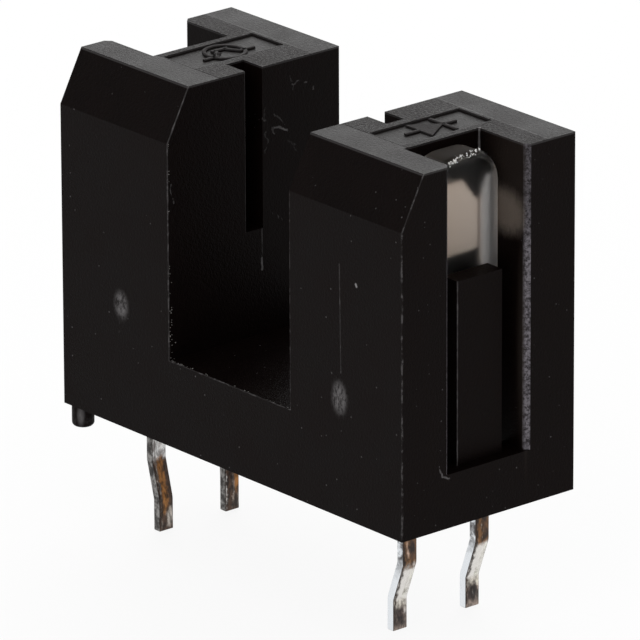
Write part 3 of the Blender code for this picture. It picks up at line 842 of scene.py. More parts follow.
@dataclass(frozen=True)
class TinnedMetal(Finish):
    """Dull tin over stamped leads, stained brown on the wide faces, with painted shade on the edges where faces meet.
    """

    stains: tuple[Stain, ...] = EMITTER_STAINS_AND_PAINTED_LIGHT
    stain_ends: float = 0.14
    stain_sides: float = 0.05
    lead_offset: float = 1.27
    # The flanks' painted light; flank_shade is their painted shade, laid in clouds over the heights in flank_shaded.
    flank_colour: Point = (0.80, 0.83, 0.86)
    flank_shade: Point = (0.10, 0.095, 0.095)
    flank_shaded: Pair = (-2.1, -1.2)
    # Painted shade on the rounded edges between the wide faces and the flanks.
    rim_colour: Point = (0.035, 0.024, 0.018)
    stained_metallic: float = 0.45
    head_metallic: float = 0.0
    head_foot: float = 6.2
    post_edge: Pair = (0.80, 1.02)
    head_edge: Pair = (0.98, 1.42)
    pad_tint: Point = (0.76, 0.62, 0.51)
    pad_pale: Point = (0.98, 0.84, 0.74)
    pad_span: Pair = (-0.7, 0.8)
    post_tint: Point = (0.66, 0.65, 0.66)
    edge_tint: Point = (0.05, 0.05, 0.055)
    relief_depth: float = 0.006

    def dress(self, surface: Surface) -> None:
        """Joins plating tone, stains, the rims' painted shade, the flanks' painted light and shade and the heads'
        tints to the shader.

        Args:
            surface: the material to write on.
        """
        graph, place = surface.graph, surface.place
        parts = graph.split(place)
        across, up = parts[1], parts[2]
        turned = graph.mark("turned")
        wide = graph.between(turned, 0.15, 0.45, 1.0, 0.0)
        streak = graph.noise(graph.vector("MULTIPLY", place, (6.0, 6.0, 0.7)), 3.0, 3.0, 0.6)
        wander = graph.less(graph.noise(place, 4.5, 4.0, 0.65), 0.5)
        own_middle = graph.times(graph.maths("SIGN", across), self.lead_offset)
        aside = graph.plus(graph.less(across, own_middle), graph.times(wander, 0.30))
        height = graph.plus(up, graph.times(wander, 0.50))
        tin, covered = self._stained(surface, streak, height, aside)
        covered = graph.times(covered, wide)
        # Painted shade on the rounded edges where the faces meet.
        skin = graph.blend(wide, opaque(self.rim_colour), tin)
        clouds = graph.between(graph.noise(place, 5.0, 3.0, 0.6), 0.30, 0.60)
        # Painted light over the flanks, with clouds of painted shade.
        shaded = graph.times(graph.between(height, *self.flank_shaded), clouds)
        side_skin = graph.blend(shaded, opaque(self.flank_colour), opaque(self.flank_shade))
        skin = graph.blend(graph.between(turned, 0.75, 0.97), skin, side_skin)
        head: Feed = opaque(self.pad_tint)
        tints = ((self.pad_span, self.pad_pale), (self.post_edge, self.post_tint), (self.head_edge, self.edge_tint))
        for edge, tint in tints:
            head = graph.blend(graph.between(across, *edge), head, opaque(tint))
        inside = graph.between(up, self.head_foot, self.head_foot + 0.2)
        surface.feed("Base Color", graph.blend(inside, skin, head))
        plated = graph.between(covered, 0.0, 1.0, self.metallic, self.stained_metallic)
        surface.feed("Metallic", graph.between(inside, 0.0, 1.0, plated, self.head_metallic))
        rough = graph.between(streak, 0.3, 0.7, self.roughness - 0.05, self.roughness + 0.08)
        surface.feed("Roughness", graph.plus(rough, graph.times(covered, 0.18)))
        surface.bump(graph.times(graph.plus(streak, covered), graph.less(1.0, inside)), self.relief_depth)

    def _stained(self, surface: Surface, streak: Socket, up: Socket, aside: Socket) -> tuple[Socket, Socket]:
        """Lays the stains, the painted glints and the painted shade line over the streaky tin, one after another.

        Args:
            surface: the material to write on.
            streak: the tin's streaks.
            up: the point's height, made to wander.
            aside: how far it lies from the lead's middle along Y, made to wander.

        Returns:
            The colour's socket and that of the stains' mask.
        """
        graph = surface.graph
        ends, sides = self.stain_ends, self.stain_sides
        tin = graph.blend(streak, opaque(self.colour, 0.70), opaque(self.colour))
        covered: Feed = 0.0
        for lead_patch in self.stains:
            amount = 0.15 + 0.55 * lead_patch.cover
            bloom = graph.group(surface.effects.tarnish, Place=surface.place, Scale=3.4, Amount=amount)
            reach = graph.span(up, (lead_patch.low - ends, lead_patch.low + ends), (lead_patch.high - ends, lead_patch.high + ends))
            middle = graph.maths("ABSOLUTE", graph.less(aside, lead_patch.shift))
            within = graph.between(middle, lead_patch.half - sides, lead_patch.half + sides, 1.0, 0.0)
            mask = graph.times(bloom["Mask"], graph.times(reach, within))
            depth = graph.between(bloom["Depth"], 0.34, 0.66)
            shades = opaque(lead_patch.colour, 0.40), opaque(lead_patch.colour, 1.9)
            tin = graph.blend(mask, tin, graph.blend(depth, *shades))
            covered = graph.most(mask, covered)
        return tin, covered


@dataclass(frozen=True)
class Speckled(Finish):
    """A small part's finish: a tone that varies with a fine grain and a matching bump."""

    scale: float = 20.0
    depth: float = 0.002
    second: Point = (0.5, 0.5, 0.5)

    def dress(self, surface: Surface) -> None:
        """Joins the grain to the shader.

        Args:
            surface: the material to write on.
        """
        graph = surface.graph
        grain = graph.group(surface.effects.grain, Place=surface.place, Scale=self.scale)
        surface.feed("Base Color", graph.blend(grain["Tone"], opaque(self.colour), opaque(self.second)))
        surface.feed("Roughness", graph.between(grain["Tone"], 0.3, 0.7, self.roughness, self.roughness + 0.12))
        surface.bump(grain["Height"], self.depth)


class Palette:
    """Every finish, built once and given out by name."""

    def __init__(self) -> None:
        """Builds the groups and then the materials."""
        effects = SurfaceEffects()
        finishes = (
            MouldedBlack("moulding", (0.0052, 0.0025, 0.0021), 0.46, specular=0.045),
            MouldedBlack("mark_moulding", (0.0040, 0.0024, 0.0020), 0.60, specular=0.018, grain_depth=0.012),
            CastEpoxy("clear_resin", (0.99, 0.98, 0.96), 0.33, transmission=1.0, refraction=1.53, gloss_tint=0.20),
            CastEpoxy("smoked_resin", (0.05, 0.03, 0.025), 0.10, specular=0.3, transmission=0.6, refraction=1.53),
            TinnedMetal("emitter_tin", (0.86, 0.83, 0.79), 0.24, metallic=1.0),
            TinnedMetal(
                "sensor_tin",
                (0.80, 0.77, 0.75),
                0.28,
                metallic=1.0,
                stains=SENSOR_STAINS,
                flank_colour=(0.28, 0.27, 0.26),
                flank_shade=(0.045, 0.042, 0.040),
                flank_shaded=(-6.0, -5.0),
            ),
            Speckled("die", (0.05, 0.05, 0.07), 0.22, metallic=0.7, second=(0.16, 0.16, 0.20)),
            Speckled("silver_paste", (0.42, 0.41, 0.40), 0.45, metallic=0.6, second=(0.66, 0.65, 0.62)),
            Speckled("gold", (0.85, 0.60, 0.22), 0.18, metallic=1.0, second=(0.95, 0.74, 0.34)),
            Speckled("resin_burr", (0.90, 0.89, 0.87), 0.25, second=(0.99, 0.99, 0.98), depth=0.01),
            Speckled("dust", (0.12, 0.115, 0.11), 0.75, second=(0.34, 0.33, 0.31), depth=0.006),
        )
        self._made = {finish.name: finish.build(effects) for finish in finishes}

    def __getitem__(self, name: str) -> bpy.types.Material:
        """The material of that name."""
        return self._made[name]


class Workshop:
    """Mesh steps that every dressed piece shares."""

    @staticmethod
    def linked(name: str, data: Optional[bpy.types.ID]) -> bpy.types.Object:
        """Makes an object at the origin.

        Args:
            name: the object's name.
            data: its mesh, light or camera.

        Returns:
            The object, linked to the scene.
        """
        thing = bpy.data.objects.new(name, data)
        bpy.context.scene.collection.objects.link(thing)
        return thing

    @staticmethod
    def meshed(name: str, bm: bmesh.types.BMesh) -> bpy.types.Mesh:
        """Writes a mesh in the making to a new mesh and frees it.

        Args:
            name: the mesh's name.
            bm: the mesh in the making.

        Returns:
            The new mesh.
        """
        mesh = bpy.data.meshes.new(name)
        bm.to_mesh(mesh)
        bm.free()
        return mesh

    @staticmethod
    def piece(name: str, mesh: bpy.types.Mesh, material: bpy.types.Material) -> bpy.types.Object:
        """Makes an object at the origin with one material.

        Args:
            name: the piece's name.
            mesh: its mesh, in place.
            material: its finish.

        Returns:
            The object, linked to the scene.
        """
        mesh.materials.clear()
        mesh.materials.append(material)
        return Workshop.linked(name, mesh)

    @staticmethod
    def welded(node: str) -> bpy.types.Mesh:
        """A solid's mesh copied, its loose triangles merged and its flat faces made whole.

        Args:
            node: the solid's name.

        Returns:
            The new mesh.
        """
        bm = bmesh.new()
        bm.from_mesh(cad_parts[node].data)
        bmesh.ops.remove_doubles(bm, verts=bm.verts, dist=WELD)
        bmesh.ops.dissolve_degenerate(bm, edges=bm.edges, dist=WELD / 10)
        bmesh.ops.dissolve_limit(bm, angle_limit=math.radians(0.5), verts=bm.verts, edges=bm.edges)
        return Workshop.meshed(node + "_skin", bm)

    @staticmethod
    def note_faces(mesh: bpy.types.Mesh, name: str, rule: Callable[[bpy.types.MeshPolygon], float]) -> None:
        """Writes a number on each face for its material to read.

        Args:
            mesh: the mesh.
            name: the attribute's name.
            rule: gives a face's number.
        """
        layer = mesh.attributes.new(name, "FLOAT", "FACE")
        for face in mesh.polygons:
            layer.data[face.index].value = rule(face)

    @staticmethod
    def shade(mesh: bpy.types.Mesh, angle: float) -> None:
        """Shades a mesh smooth, apart from edges sharper than the angle in degrees."""
        mesh.shade_smooth()
        mesh.set_sharp_from_angle(angle=math.radians(angle))

    @staticmethod
    def bevel(thing: bpy.types.Object, width: float, steps: int, angle: float) -> None:
        """Adds a bevel on edges sharper than an angle.

        Args:
            thing: the object.
            width: the bevel's width in millimetres.
            steps: its segments.
            angle: the least angle in degrees.
        """
        modifier = thing.modifiers.new("Edges", "BEVEL")
        modifier.width = width * MM
        modifier.segments = steps
        modifier.limit_method = "ANGLE"
        modifier.angle_limit = math.radians(angle)
        modifier.use_clamp_overlap = True

    @staticmethod
    def boolean(thing: bpy.types.Object, tool: bpy.types.Object, operation: str) -> None:
        """Adds a Boolean of the tool to an object.

        Args:
            thing: the object that is changed.
            tool: the other object.
            operation: UNION or DIFFERENCE.
        """
        modifier = thing.modifiers.new(tool.name, "BOOLEAN")
        modifier.operation = operation
        modifier.object = tool

    @staticmethod
    def settled(thing: bpy.types.Object, tools: Iterable[bpy.types.Object] = ()) -> bpy.types.Object:
        """Turns an object and its modifiers into a plain mesh and removes the tools.

        Args:
            thing: the object with modifiers.
            tools: objects that the modifiers used.

        Returns:
            The same object, with the plain mesh and no modifiers.
        """
        bpy.context.view_layer.update()
        graph = bpy.context.evaluated_depsgraph_get()
        mesh = bpy.data.meshes.new_from_object(thing.evaluated_get(graph))
        thing.modifiers.clear()
        thing.data = mesh
        for tool in tools:
            bpy.data.objects.remove(tool)
        return thing

    @staticmethod
    def prism(name: str, outline: Sequence[Pair], low: float, high: float, along: str) -> bpy.types.Object:
        """Extrudes a closed outline along X or Z.

        Args:
            name: the object's name.
            outline: its corners in millimetres, as (y, z) along X or (x, y) along Z.
            low: where the extrusion starts.
            high: where it ends.
            along: X or Z.

        Returns:
            The object, with outward faces and no material.
        """
        bm = bmesh.new()
        rings = []
        for level in (low, high):
            spots = [(level, a, b) if along == "X" else (a, b, level) for a, b in outline]
            rings.append([bm.verts.new(Vector(spot) * MM) for spot in spots])
        bm.faces.new(rings[0])
        bm.faces.new(rings[1])
        for index in range(len(outline)):
            after = (index + 1) % len(outline)
            bm.faces.new((rings[0][index], rings[0][after], rings[1][after], rings[1][index]))
        bmesh.ops.recalc_face_normals(bm, faces=bm.faces)
        return Workshop.linked(name, Workshop.meshed(name, bm))

    @staticmethod
    def hand_in(thing: bpy.types.Object, slot: Slot, *nodes: str) -> None:
        """Lets a piece ride on the part's one body and hides the solids that it replaces.

        Args:
            thing: the finished piece.
            slot: the record's slot; not used.
            nodes: the solids that it replaces.
        """
        if nodes:
            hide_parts(*nodes)
        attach(thing, "root")
        LOG.info("%s: %d faces", thing.name, len(thing.data.polygons))


def lines_mesh(name: str, lines: Iterable[Sequence[Point]]) -> bpy.types.Mesh:
    """Makes a mesh of edges only.

    Args:
        name: the mesh's name.
        lines: polylines in millimetres.

    Returns:
        The mesh, in metres.
    """
    points: list[Vector] = []
    edges: list[tuple[int, int]] = []
    for line in lines:
        start = len(points)
        points += [Vector(point) * MM for point in line]
        edges += [(index, index + 1) for index in range(start, len(points) - 1)]
    mesh = bpy.data.meshes.new(name)
    mesh.from_pydata(points, edges, [])
    return mesh


class GeometryRecipe:
    """A Geometry Nodes tree with named inputs that is run once and made a plain mesh."""

    name = "recipe"
    ports: tuple[Port, ...] = ()

    def __init__(self) -> None:
        """Builds the tree: its sockets, the recipe's own nodes, Realize Instances and Set Material."""
        self.tree = bpy.data.node_groups.new(self.name, "GeometryNodeTree")
        geometry = Port("Geometry", GEOMETRY)
        ports = (geometry, *self.ports, Port("Finish", "NodeSocketMaterial"))
        self.inputs = {port.name: port.open(self.tree, "INPUT") for port in ports}
        geometry.open(self.tree, "OUTPUT")
        graph = Graph(self.tree)
        given = graph.entry()
        real = graph.put("GeometryNodeRealizeInstances", {"Geometry": self.shape(graph, given)})
        dressed = graph.put("GeometryNodeSetMaterial", {"Geometry": real, "Material": given["Finish"]})
        graph.add("NodeGroupOutput", {"Geometry": dressed})

    def shape(self, graph: Graph, given: dict[str, Socket]) -> Socket:
        """Writes the recipe's own nodes.

        Args:
            graph: the tree.
            given: the tree's inputs by name.

        Returns:
            The geometry's socket.
        """
        raise NotImplementedError

    def run(self, name: str, guide: bpy.types.Mesh, finish: bpy.types.Material, **values: object) -> bpy.types.Object:
        """Runs the tree on a guide mesh.

        Args:
            name: the piece's name.
            guide: what the tree reads as its geometry.
            finish: the material it sets.
            values: its inputs by name.

        Returns:
            An object at the origin with the result as its plain mesh.
        """
        thing = Workshop.linked(name, guide)
        modifier = thing.modifiers.new(self.name, "NODES")
        modifier.node_group = self.tree
        for key, value in {**values, "Finish": finish}.items():
            modifier[self.inputs[key]] = value
        thing = Workshop.settled(thing)
        thing.data.name = name
        return thing


class MouldedStroke(GeometryRecipe):
    """Raised strokes along lines that lie level: each line becomes a bar of the given width and height."""

    name = "moulded_stroke"
    ports = (Port("Width", start=0.1 * MM), Port("Height", start=0.05 * MM))

    def shape(self, graph: Graph, given: dict[str, Socket]) -> Socket:
        """Sweeps a rectangle along the lines.

        Args:
            graph: the tree.
            given: the tree's inputs by name.

        Returns:
            The bars' socket.
        """
        curve = graph.put("GeometryNodeMeshToCurve", {"Mesh": given["Geometry"]})
        level = graph.put("GeometryNodeSetCurveNormal", {"Curve": curve}, mode="Z_UP")
        sizes = {"Width": given["Width"], "Height": given["Height"]}
        section = graph.put("GeometryNodeCurvePrimitiveQuadrilateral", sizes)
        return graph.put("GeometryNodeCurveToMesh", {"Curve": level, "Profile Curve": section, "Fill Caps": True})


class Crumbs(GeometryRecipe):
    """Small uneven crumbs strewn along lines."""

    name = "crumbs"
    ports = (
        Port("Spacing", start=0.1 * MM),
        Port("Size", start=0.02 * MM),
        Port("Spread", start=0.02 * MM),
        Port("Share", start=0.5),
        Port("Long", start=1.0),
        Port("Seed", "NodeSocketInt", 1),
    )

    def shape(self, graph: Graph, given: dict[str, Socket]) -> Socket:
        """Puts a jittered, turned and scaled crumb on a share of the points along the lines.

        Args:
            graph: the tree.
            given: the tree's inputs by name.

        Returns:
            The crumbs' socket.
        """
        seed = given["Seed"]
        curve = graph.put("GeometryNodeMeshToCurve", {"Mesh": given["Geometry"]})
        points = graph.put("GeometryNodeResampleCurve", {"Curve": curve, "Length": given["Spacing"]}, mode="LENGTH")
        jitter = self._random(graph, seed, (-1.0,) * 3, (1.0,) * 3)
        moved = {"Geometry": points, "Offset": graph.scale(jitter, given["Spread"])}
        chance = self._random(graph, graph.plus(seed, 7.0), 0.0, 1.0)
        size = self._random(graph, graph.plus(seed, 29.0), (0.35,) * 3, (1.0,) * 3)
        longer = graph.put("ShaderNodeCombineXYZ", {"X": given["Long"], "Y": 1.0, "Z": 1.0})
        feeds = {
            "Points": graph.put("GeometryNodeSetPosition", moved),
            "Instance": graph.put("GeometryNodeMeshIcoSphere", {"Radius": given["Size"], "Subdivisions": 1}),
            "Selection": graph.maths("LESS_THAN", chance, given["Share"]),
            "Rotation": self._random(graph, graph.plus(seed, 13.0), (0.0,) * 3, (6.28,) * 3),
            "Scale": graph.vector("MULTIPLY", size, longer),
        }
        return graph.put("GeometryNodeInstanceOnPoints", feeds)

    @staticmethod
    def _random(graph: Graph, seed: Feed, low: Feed, high: Feed) -> Socket:
        """A random value for each point.

        Args:
            graph: the tree.
            seed: its seed.
            low: the least value, a number or a vector.
            high: the most, of the same kind.

        Returns:
            The value's socket.
        """
        vector = isinstance(low, tuple)
        first = 0 if vector else 2
        kind = "FLOAT_VECTOR" if vector else "FLOAT"
        node = graph.add("FunctionNodeRandomValue", {first: low, first + 1: high, "Seed": seed}, data_type=kind)
        return node.outputs[0 if vector else 1]


@dataclass
class Housing:
    """The moulded housing: its skin, the signs on its tops and the crumbs along its edges."""

    sign_floor: float = 9.94
    sign_height: float = 0.05
    stroke: float = 0.11
    diode_x: float = 4.20
    diode_half: float = 0.55
    diode_base: float = 0.02
    diode_bar: float = 0.86
    diode_ends: Pair = (-0.45, 1.30)
    ring_radius: float = 0.56
    ring_steps: int = 28
    ridge_face_area: float = 0.9
    flare_area: float = 0.5
    edge_inset: float = 0.038
    slot_half: float = 2.5
    slot_floor: float = 2.45
    front: float = -3.0
    bevel_foot: float = 8.55

    def build(self, palette: Palette) -> None:
        """Builds every piece of the housing and attaches it to the part's body.

        Args:
            palette: the finishes.
        """
        self.skin(palette)
        for tower, glyph in ((Tower.EMITTER, Glyph.DIODE), (Tower.SENSOR, Glyph.TRANSISTOR)):
            self.sign(tower, glyph, palette)
        self.crumbs(palette)

    def skin(self, palette: Palette) -> None:
        """The housing's own surface, welded so that the peg is round and the ridges of its edges carry a painted
        highlight.

        Args:
            palette: the part's finishes.
        """
        mesh = Workshop.welded("housing")
        self.mark_edges(mesh)
        Workshop.note_faces(mesh, "flare", self.is_flare)
        Workshop.shade(mesh, 20.0)
        Workshop.hand_in(Workshop.piece("housing_skin", mesh, palette["moulding"]), Slot.MOULDING, "housing")

    def mark_edges(self, mesh: bpy.types.Mesh) -> None:
        """Writes the edge attribute: 1 on the ridge of each rounded edge, 0 elsewhere.

        Args:
            mesh: the housing's mesh. A point on a ridge touches only the narrow faces of roundings.
        """
        widest = self.ridge_face_area * MM * MM
        bm = bmesh.new()
        bm.from_mesh(mesh)
        layer = bm.verts.layers.float.new("edge")
        for vert in bm.verts:
            vert[layer] = float(all(face.calc_area() < widest for face in vert.link_faces))
        bm.to_mesh(mesh)
        bm.free()

    def is_flare(self, face: bpy.types.MeshPolygon) -> float:
        """1 on the slanted faces at the mouths of the end windows."""
        slanted = 0.3 < abs(face.normal.x) < 0.95 and 0.3 < abs(face.normal.y) < 0.95
        return float(slanted and face.area > self.flare_area * MM * MM)

    def strokes(self, glyph: Glyph) -> list[list[Pair]]:
        """The sign's lines in plan, for a tower at +X.

        Args:
            glyph: which sign.

        Returns:
            Polylines of (x, y).
        """
        centre, half = self.diode_x, self.diode_half
        low, high = self.diode_ends
        if glyph is Glyph.DIODE:
            return [
                [(centre, low), (centre, self.diode_base)],
                [(centre - half, self.diode_bar), (centre + half, self.diode_bar)],
                [(centre, self.diode_bar), (centre, high)],
            ]
        middle, bar, leg = (low + high) / 2, centre + 0.22, centre - 0.18
        turn = 2 * math.pi / self.ring_steps
        ring = [
            (centre + self.ring_radius * math.cos(turn * step), middle + self.ring_radius * math.sin(turn * step))
            for step in range(self.ring_steps + 1)
        ]
        return [
            [(bar, middle - 0.28), (bar, middle + 0.28)],
            [(bar, middle + 0.14), (leg, middle + 0.38), (leg, high)],
            [(bar, middle - 0.14), (leg, middle - 0.38), (leg, low)],
            ring,
        ]

    def solid_part(self, glyph: Glyph) -> list[Pair]:
        """The sign's filled triangle in plan, for a tower at +X.

        Args:
            glyph: the sign.

        Returns:
            The triangle's corners.
        """
        centre, half = self.diode_x, self.diode_half
        if glyph is Glyph.DIODE:
            return [(centre - half, self.diode_base), (centre + half, self.diode_base), (centre, self.diode_bar)]
        middle = sum(self.diode_ends) / 2
        return [(centre - 0.16, middle - 0.37), (centre + 0.06, middle - 0.36), (centre - 0.02, middle - 0.14)]

    def sign(self, tower: Tower, glyph: Glyph, palette: Palette) -> None:
        """Builds one sign as raised strokes and a raised triangle.

        Args:
            tower: the tower it stands on.
            glyph: which sign.
            palette: the finishes.
        """
        middle = self.sign_floor + self.sign_height / 2
        lines = [[(tower.value * x, y, middle) for x, y in line] for line in self.strokes(glyph)]
        finish = palette["mark_moulding"]
        strokes = MouldedStroke().run(
            f"{tower.word}_sign_strokes",
            lines_mesh("sign_lines", lines),
            finish,
            Width=self.stroke * MM,
            Height=self.sign_height * MM,
        )
        Workshop.hand_in(strokes, Slot.MOULDING)
        outline = [(tower.value * x, y) for x, y in self.solid_part(glyph)]
        low = self.sign_floor - 0.01
        triangle = Workshop.prism(f"{tower.word}_sign_triangle", outline, low, middle + self.sign_height / 2, "Z")
        triangle.data.materials.append(finish)
        Workshop.bevel(triangle, 0.012, 2, 40.0)
        Workshop.hand_in(Workshop.settled(triangle), Slot.MOULDING)

    def crumbs(self, palette: Palette) -> None:
        """Strews moulding dust along the slot's front edges, thickest in its lower left corner.

        Args:
            palette: the part's finishes.
        """
        front = self.front + self.edge_inset
        left, right, floor = -self.slot_half, self.slot_half, self.slot_floor
        low, middle = floor + 0.9, floor + 2.4
        lines = [
            [(left, front, floor), (left, front, self.bevel_foot)],
            [(left, front, floor), (left, front, low)],
            [(left, front + 0.05, floor), (left, front + 0.05, middle)],
            [(left, front, floor), (right, front, floor)],
            [(left, front, floor), (left + 1.2, front, floor)],
            [(left, front + 0.14, floor), (left, front + 0.20, low)],
            [(right, front, floor), (right, front, self.bevel_foot)],
        ]
        dust = Crumbs().run(
            "edge_dust",
            lines_mesh("edge_lines", lines),
            palette["dust"],
            Spacing=0.07 * MM,
            Size=0.020 * MM,
            Spread=0.014 * MM,
            Share=0.24,
            Long=1.0,
            Seed=11,
        )
        Workshop.hand_in(dust, Slot.MOULDING)


@dataclass
class Package:
    """One epoxy package with its lead frame, chip and bond wire, in one tower."""

    tower: Tower
    inner_x: float = 4.2
    outer_x: float = 5.4
    boss_x: float = 6.0
    boss_root: float = 5.14
    foot: float = 3.6
    top: float = 9.3
    half: float = 2.05
    corner: float = 0.45
    boss_top: float = 9.78
    boss_half: float = 1.27
    boss_corner: float = 1.0
    boss_edge: float = 0.15
    lens_x: float = 4.3
    lens_radius: float = 1.0
    optical_axis: float = 7.8
    arc_steps: int = 14

    def build(self, palette: Palette) -> None:
        """Builds every piece of the package and attaches the new pieces to the part's body.

        Args:
            palette: the finishes.
        """
        self.resin(palette)
        self.leads(palette)
        self.inner_parts(palette)
        if self.tower is Tower.EMITTER:
            self.burr(palette)

    def shoulders(self, half: float, low: float, high: float, radius: float) -> list[Pair]:
        """An upright outline in (y, z) with its two upper corners rounded.

        Args:
            half: half its width.
            low: its foot.
            high: its top.
            radius: the corners' radius.

        Returns:
            The outline's points.
        """
        points = [(-half, low), (half, low)]
        for centre, start in ((half - radius, 0.0), (radius - half, math.pi / 2)):
            for step in range(self.arc_steps + 1):
                angle = start + math.pi / 2 * step / self.arc_steps
                points.append((centre + radius * math.cos(angle), high - radius + radius * math.sin(angle)))
        return points

    def resin(self, palette: Palette) -> None:
        """The cast body, whole and without the solids' clearance rooms, so that it shows as clear resin.

        Args:
            palette: the part's finishes.
        """
        word, side = self.tower.word, self.tower.value
        spans = {
            "flange": (self.inner_x, self.outer_x, self.half, self.top, self.corner),
            "boss": (self.boss_root, self.boss_x, self.boss_half, self.boss_top, self.boss_corner),
        }
        solids = {}
        for name, (inner, outer, half, top, radius) in spans.items():
            low, high = sorted((side * inner, side * outer))
            outline = self.shoulders(half, self.foot, top, radius)
            solids[name] = Workshop.prism(f"{word}_{name}", outline, low, high, "X")
        Workshop.bevel(solids["flange"], 0.06, 3, 40.0)
        Workshop.bevel(solids["boss"], self.boss_edge, 5, 40.0)
        bpy.ops.mesh.primitive_uv_sphere_add(
            segments=64,
            ring_count=32,
            radius=self.lens_radius * MM,
            location=(side * self.lens_x * MM, 0.0, self.optical_axis * MM),
        )
        lens = bpy.context.object
        Workshop.boolean(solids["flange"], solids["boss"], "UNION")
        Workshop.boolean(solids["flange"], lens, "UNION")
        body = Workshop.settled(solids["flange"], (solids["boss"], lens))
        clear = self.tower is Tower.EMITTER
        body.name = f"{word}_resin"
        body.data.materials.clear()
        body.data.materials.append(palette["clear_resin" if clear else "smoked_resin"])
        Workshop.shade(body.data, 30.0)
        Workshop.hand_in(body, Slot.CLEAR_EPOXY if clear else Slot.SMOKED_EPOXY, f"{word}_epoxy")

    def leads(self, palette: Palette) -> None:
        """The stamped leads, with their edges eased.

        Args:
            palette: the part's finishes.
        """
        for kind in ("pad", "post"):
            node = f"{self.tower.word}_{kind}_lead"
            finish = palette[f"{self.tower.word}_tin"]
            lead = Workshop.piece(f"{node}_plated", Workshop.welded(node), finish)
            Workshop.bevel(lead, 0.026, 3, 50.0)
            lead = Workshop.settled(lead)
            Workshop.note_faces(lead.data, "turned", lambda face: abs(face.normal.y))
            Workshop.shade(lead.data, 35.0)
            Workshop.hand_in(lead, Slot.LEAD, node)

    def inner_parts(self, palette: Palette) -> None:
        """Gives the chip, its adhesive and the bond wire their finishes.

        Args:
            palette: the part's finishes.
        """
        finishes = {
            "chip": (palette["die"], Slot.CHIP),
            "chip_adhesive": (palette["silver_paste"], Slot.ADHESIVE),
            "bond_wire": (palette["gold"], Slot.WIRE),
        }
        for part, (material, slot) in finishes.items():
            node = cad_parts[f"{self.tower.word}_{part}"]
            node.material_slots[0].material = material
            LOG.info("%s keeps its solid", node.name)

    def burr(self, palette: Palette) -> None:
        """Torn resin along the top edge of the window's boss.

        Args:
            palette: the part's finishes.
        """
        face, top = self.boss_x, self.boss_top
        line = [
            (face - 0.015, -0.64, top - 0.19),
            (face - 0.03, -0.25, top - 0.11),
            (face - 0.045, 0.15, top - 0.065),
            (face - 0.06, 0.54, top - 0.045),
        ]
        burr = Crumbs().run(
            "boss_burr",
            lines_mesh("burr_line", [line]),
            palette["resin_burr"],
            Spacing=0.012 * MM,
            Size=0.024 * MM,
            Spread=0.070 * MM,
            Share=0.80,
            Long=1.6,
            Seed=5,
        )
        Workshop.hand_in(burr, Slot.CLEAR_EPOXY)


@dataclass(frozen=True)
class Lamp:
    """A soft square lamp, in millimetres."""

    name: str
    place: Point
    side: float
    power: float


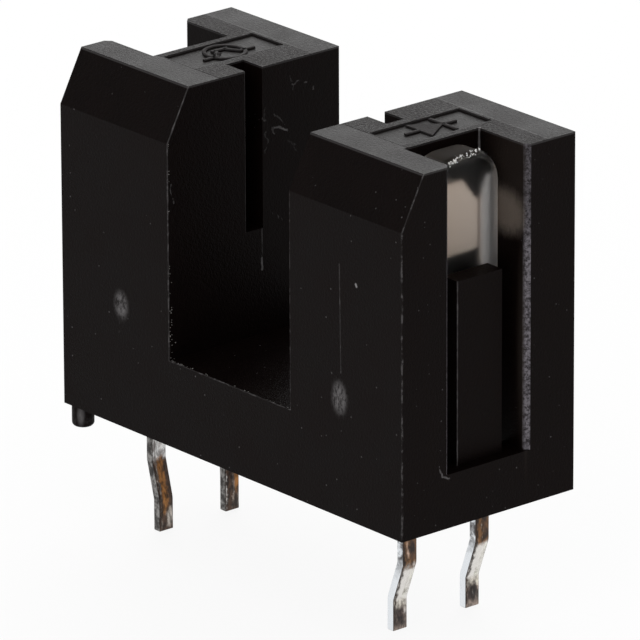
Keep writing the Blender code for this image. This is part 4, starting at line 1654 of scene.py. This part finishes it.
@dataclass
class Studio:
    """The pale floor, the soft light and the camera."""

    floor_height: float
    floor_half: float = 400.0
    floor_colour: Point = (0.92, 0.92, 0.92)
    floor_glow: float = 0.90
    fill: float = 0.75
    backdrop: Point = (-0.762, 0.648, 0.0)
    dim_side: float = 0.26
    camera_place: Point = (184.068, -156.273, 90.437)
    camera_target: Point = (0.430, -0.197, 3.735)
    camera_roll: float = -0.223
    lens: float = 540.925
    sensor: float = 36.0
    lamps: tuple[Lamp, ...] = (
        Lamp("back_strip", (-287.0, 244.0, 136.0), 260.0, 0.53),
        Lamp("back_softbox", (-120.0, 160.0, 200.0), 180.0, 0.15),
        Lamp("front_softbox", (60.0, -220.0, 160.0), 160.0, 0.08),
    )

    def build(self) -> None:
        """Builds the floor, lamps, world and camera."""
        self.floor()
        for lamp in self.lamps:
            self.lamp(lamp)
        self.world()
        self.camera()
        view = bpy.context.scene.view_settings
        view.view_transform = "Standard"

    def floor(self) -> None:
        """A pale floor at the leads' tips that keeps the part's soft shadow."""
        half = self.floor_half
        corners = [(-half, -half), (half, -half), (half, half), (-half, half)]
        mesh = bpy.data.meshes.new("floor")
        spots = [Vector((x, y, self.floor_height)) * MM for x, y in corners]
        mesh.from_pydata(spots, [], [(0, 1, 2, 3)])
        material = bpy.data.materials.new("pale_floor")
        material.use_nodes = True
        graph = Graph(material.node_tree)
        shader = material.node_tree.nodes["Principled BSDF"]
        shader.inputs["Base Color"].default_value = (*self.floor_colour, 1.0)
        shader.inputs["Roughness"].default_value = 0.9
        glow = graph.add("ShaderNodeEmission")
        both = graph.add("ShaderNodeMixShader")
        graph.feed(both.inputs[0], graph.maths("MULTIPLY", self.seen(graph), self.floor_glow))
        graph.feed(both.inputs[1], shader.outputs[0])
        graph.feed(both.inputs[2], glow.outputs[0])
        out = material.node_tree.nodes["Material Output"]
        graph.feed(out.inputs["Surface"], both.outputs[0])
        floor = Workshop.piece("floor", mesh, material)
        floor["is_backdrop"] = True

    def lamp(self, lamp: Lamp) -> None:
        """Adds a square area lamp that faces the part.

        Args:
            lamp: its place, side and power in watts.
        """
        light = bpy.data.lights.new(lamp.name, "AREA")
        light.energy = lamp.power
        light.size = lamp.side * MM
        thing = Workshop.linked(lamp.name, light)
        thing.location = Vector(lamp.place) * MM
        thing.rotation_euler = (-thing.location).to_track_quat("-Z", "Y").to_euler()

    @staticmethod
    def seen(graph: Graph) -> Socket:
        """Tells rays that show something from those that fill the scene.

        Args:
            graph: the tree to write in.

        Returns:
            The socket of 1 on rays from the camera, from gloss and through glass, and 0 on the others.
        """
        rays = graph.add("ShaderNodeLightPath")
        seen = graph.maths("MAXIMUM", rays.outputs["Is Camera Ray"], rays.outputs["Is Glossy Ray"])
        return graph.maths("MAXIMUM", seen, rays.outputs["Is Transmission Ray"])

    def world(self) -> None:
        """A white backdrop that dims towards the room behind the camera, and a soft fill."""
        world = bpy.data.worlds.new("surround")
        world.use_nodes = True
        bpy.context.scene.world = world
        graph = Graph(world.node_tree)
        ground = world.node_tree.nodes["Background"]
        coordinates = graph.add("ShaderNodeTexCoord")
        facing = graph.measure("DOT_PRODUCT", coordinates.outputs["Generated"], self.backdrop)
        room = graph.between(facing, 0.05, 0.60, self.dim_side, 1.0)
        rays = graph.add("ShaderNodeLightPath")
        white = graph.maths("MAXIMUM", rays.outputs["Is Camera Ray"], rays.outputs["Is Transmission Ray"])
        shown = graph.maths("MAXIMUM", room, white)
        graph.feed(ground.inputs["Strength"], graph.between(self.seen(graph), 0.0, 1.0, self.fill, shown))
        ground.inputs["Color"].default_value = (1.0, 1.0, 1.0, 1.0)

    def camera(self) -> None:
        """The camera at the photograph's angle, with its small roll."""
        lens = bpy.data.cameras.new("camera")
        lens.lens = self.lens
        lens.sensor_width = self.sensor
        lens.clip_start = 10.0 * MM
        lens.clip_end = 5000.0 * MM
        place, target = Vector(self.camera_place) * MM, Vector(self.camera_target) * MM
        ahead = (target - place).normalized()
        right = ahead.cross(Vector((0.0, 0.0, 1.0))).normalized()
        up = right.cross(ahead)
        roll = math.radians(self.camera_roll)
        across = right * math.cos(roll) + up * math.sin(roll)
        above = up * math.cos(roll) - right * math.sin(roll)
        turn = Matrix((across, above, -ahead)).transposed().to_4x4()
        camera = Workshop.linked("camera", lens)
        camera.matrix_world = Matrix.Translation(place) @ turn
        bpy.context.scene.camera = camera


def plain(bounds: Iterable[Iterable[float]]) -> list[list[float]]:
    """A box's corners as plain lists of numbers."""
    return [[float(number) for number in corner] for corner in bounds]


def main() -> None:
    """Builds the looks in order."""
    logging.basicConfig(level=logging.INFO, format="%(message)s")
    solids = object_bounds()
    palette = Palette()
    Housing().build(palette)
    for package in (Package(Tower.EMITTER), Package(Tower.SENSOR, boss_top=9.55)):
        package.build(palette)
    Studio(floor_height=solids[0][2] / MM).build()


if __name__ == "__main__":
    main()
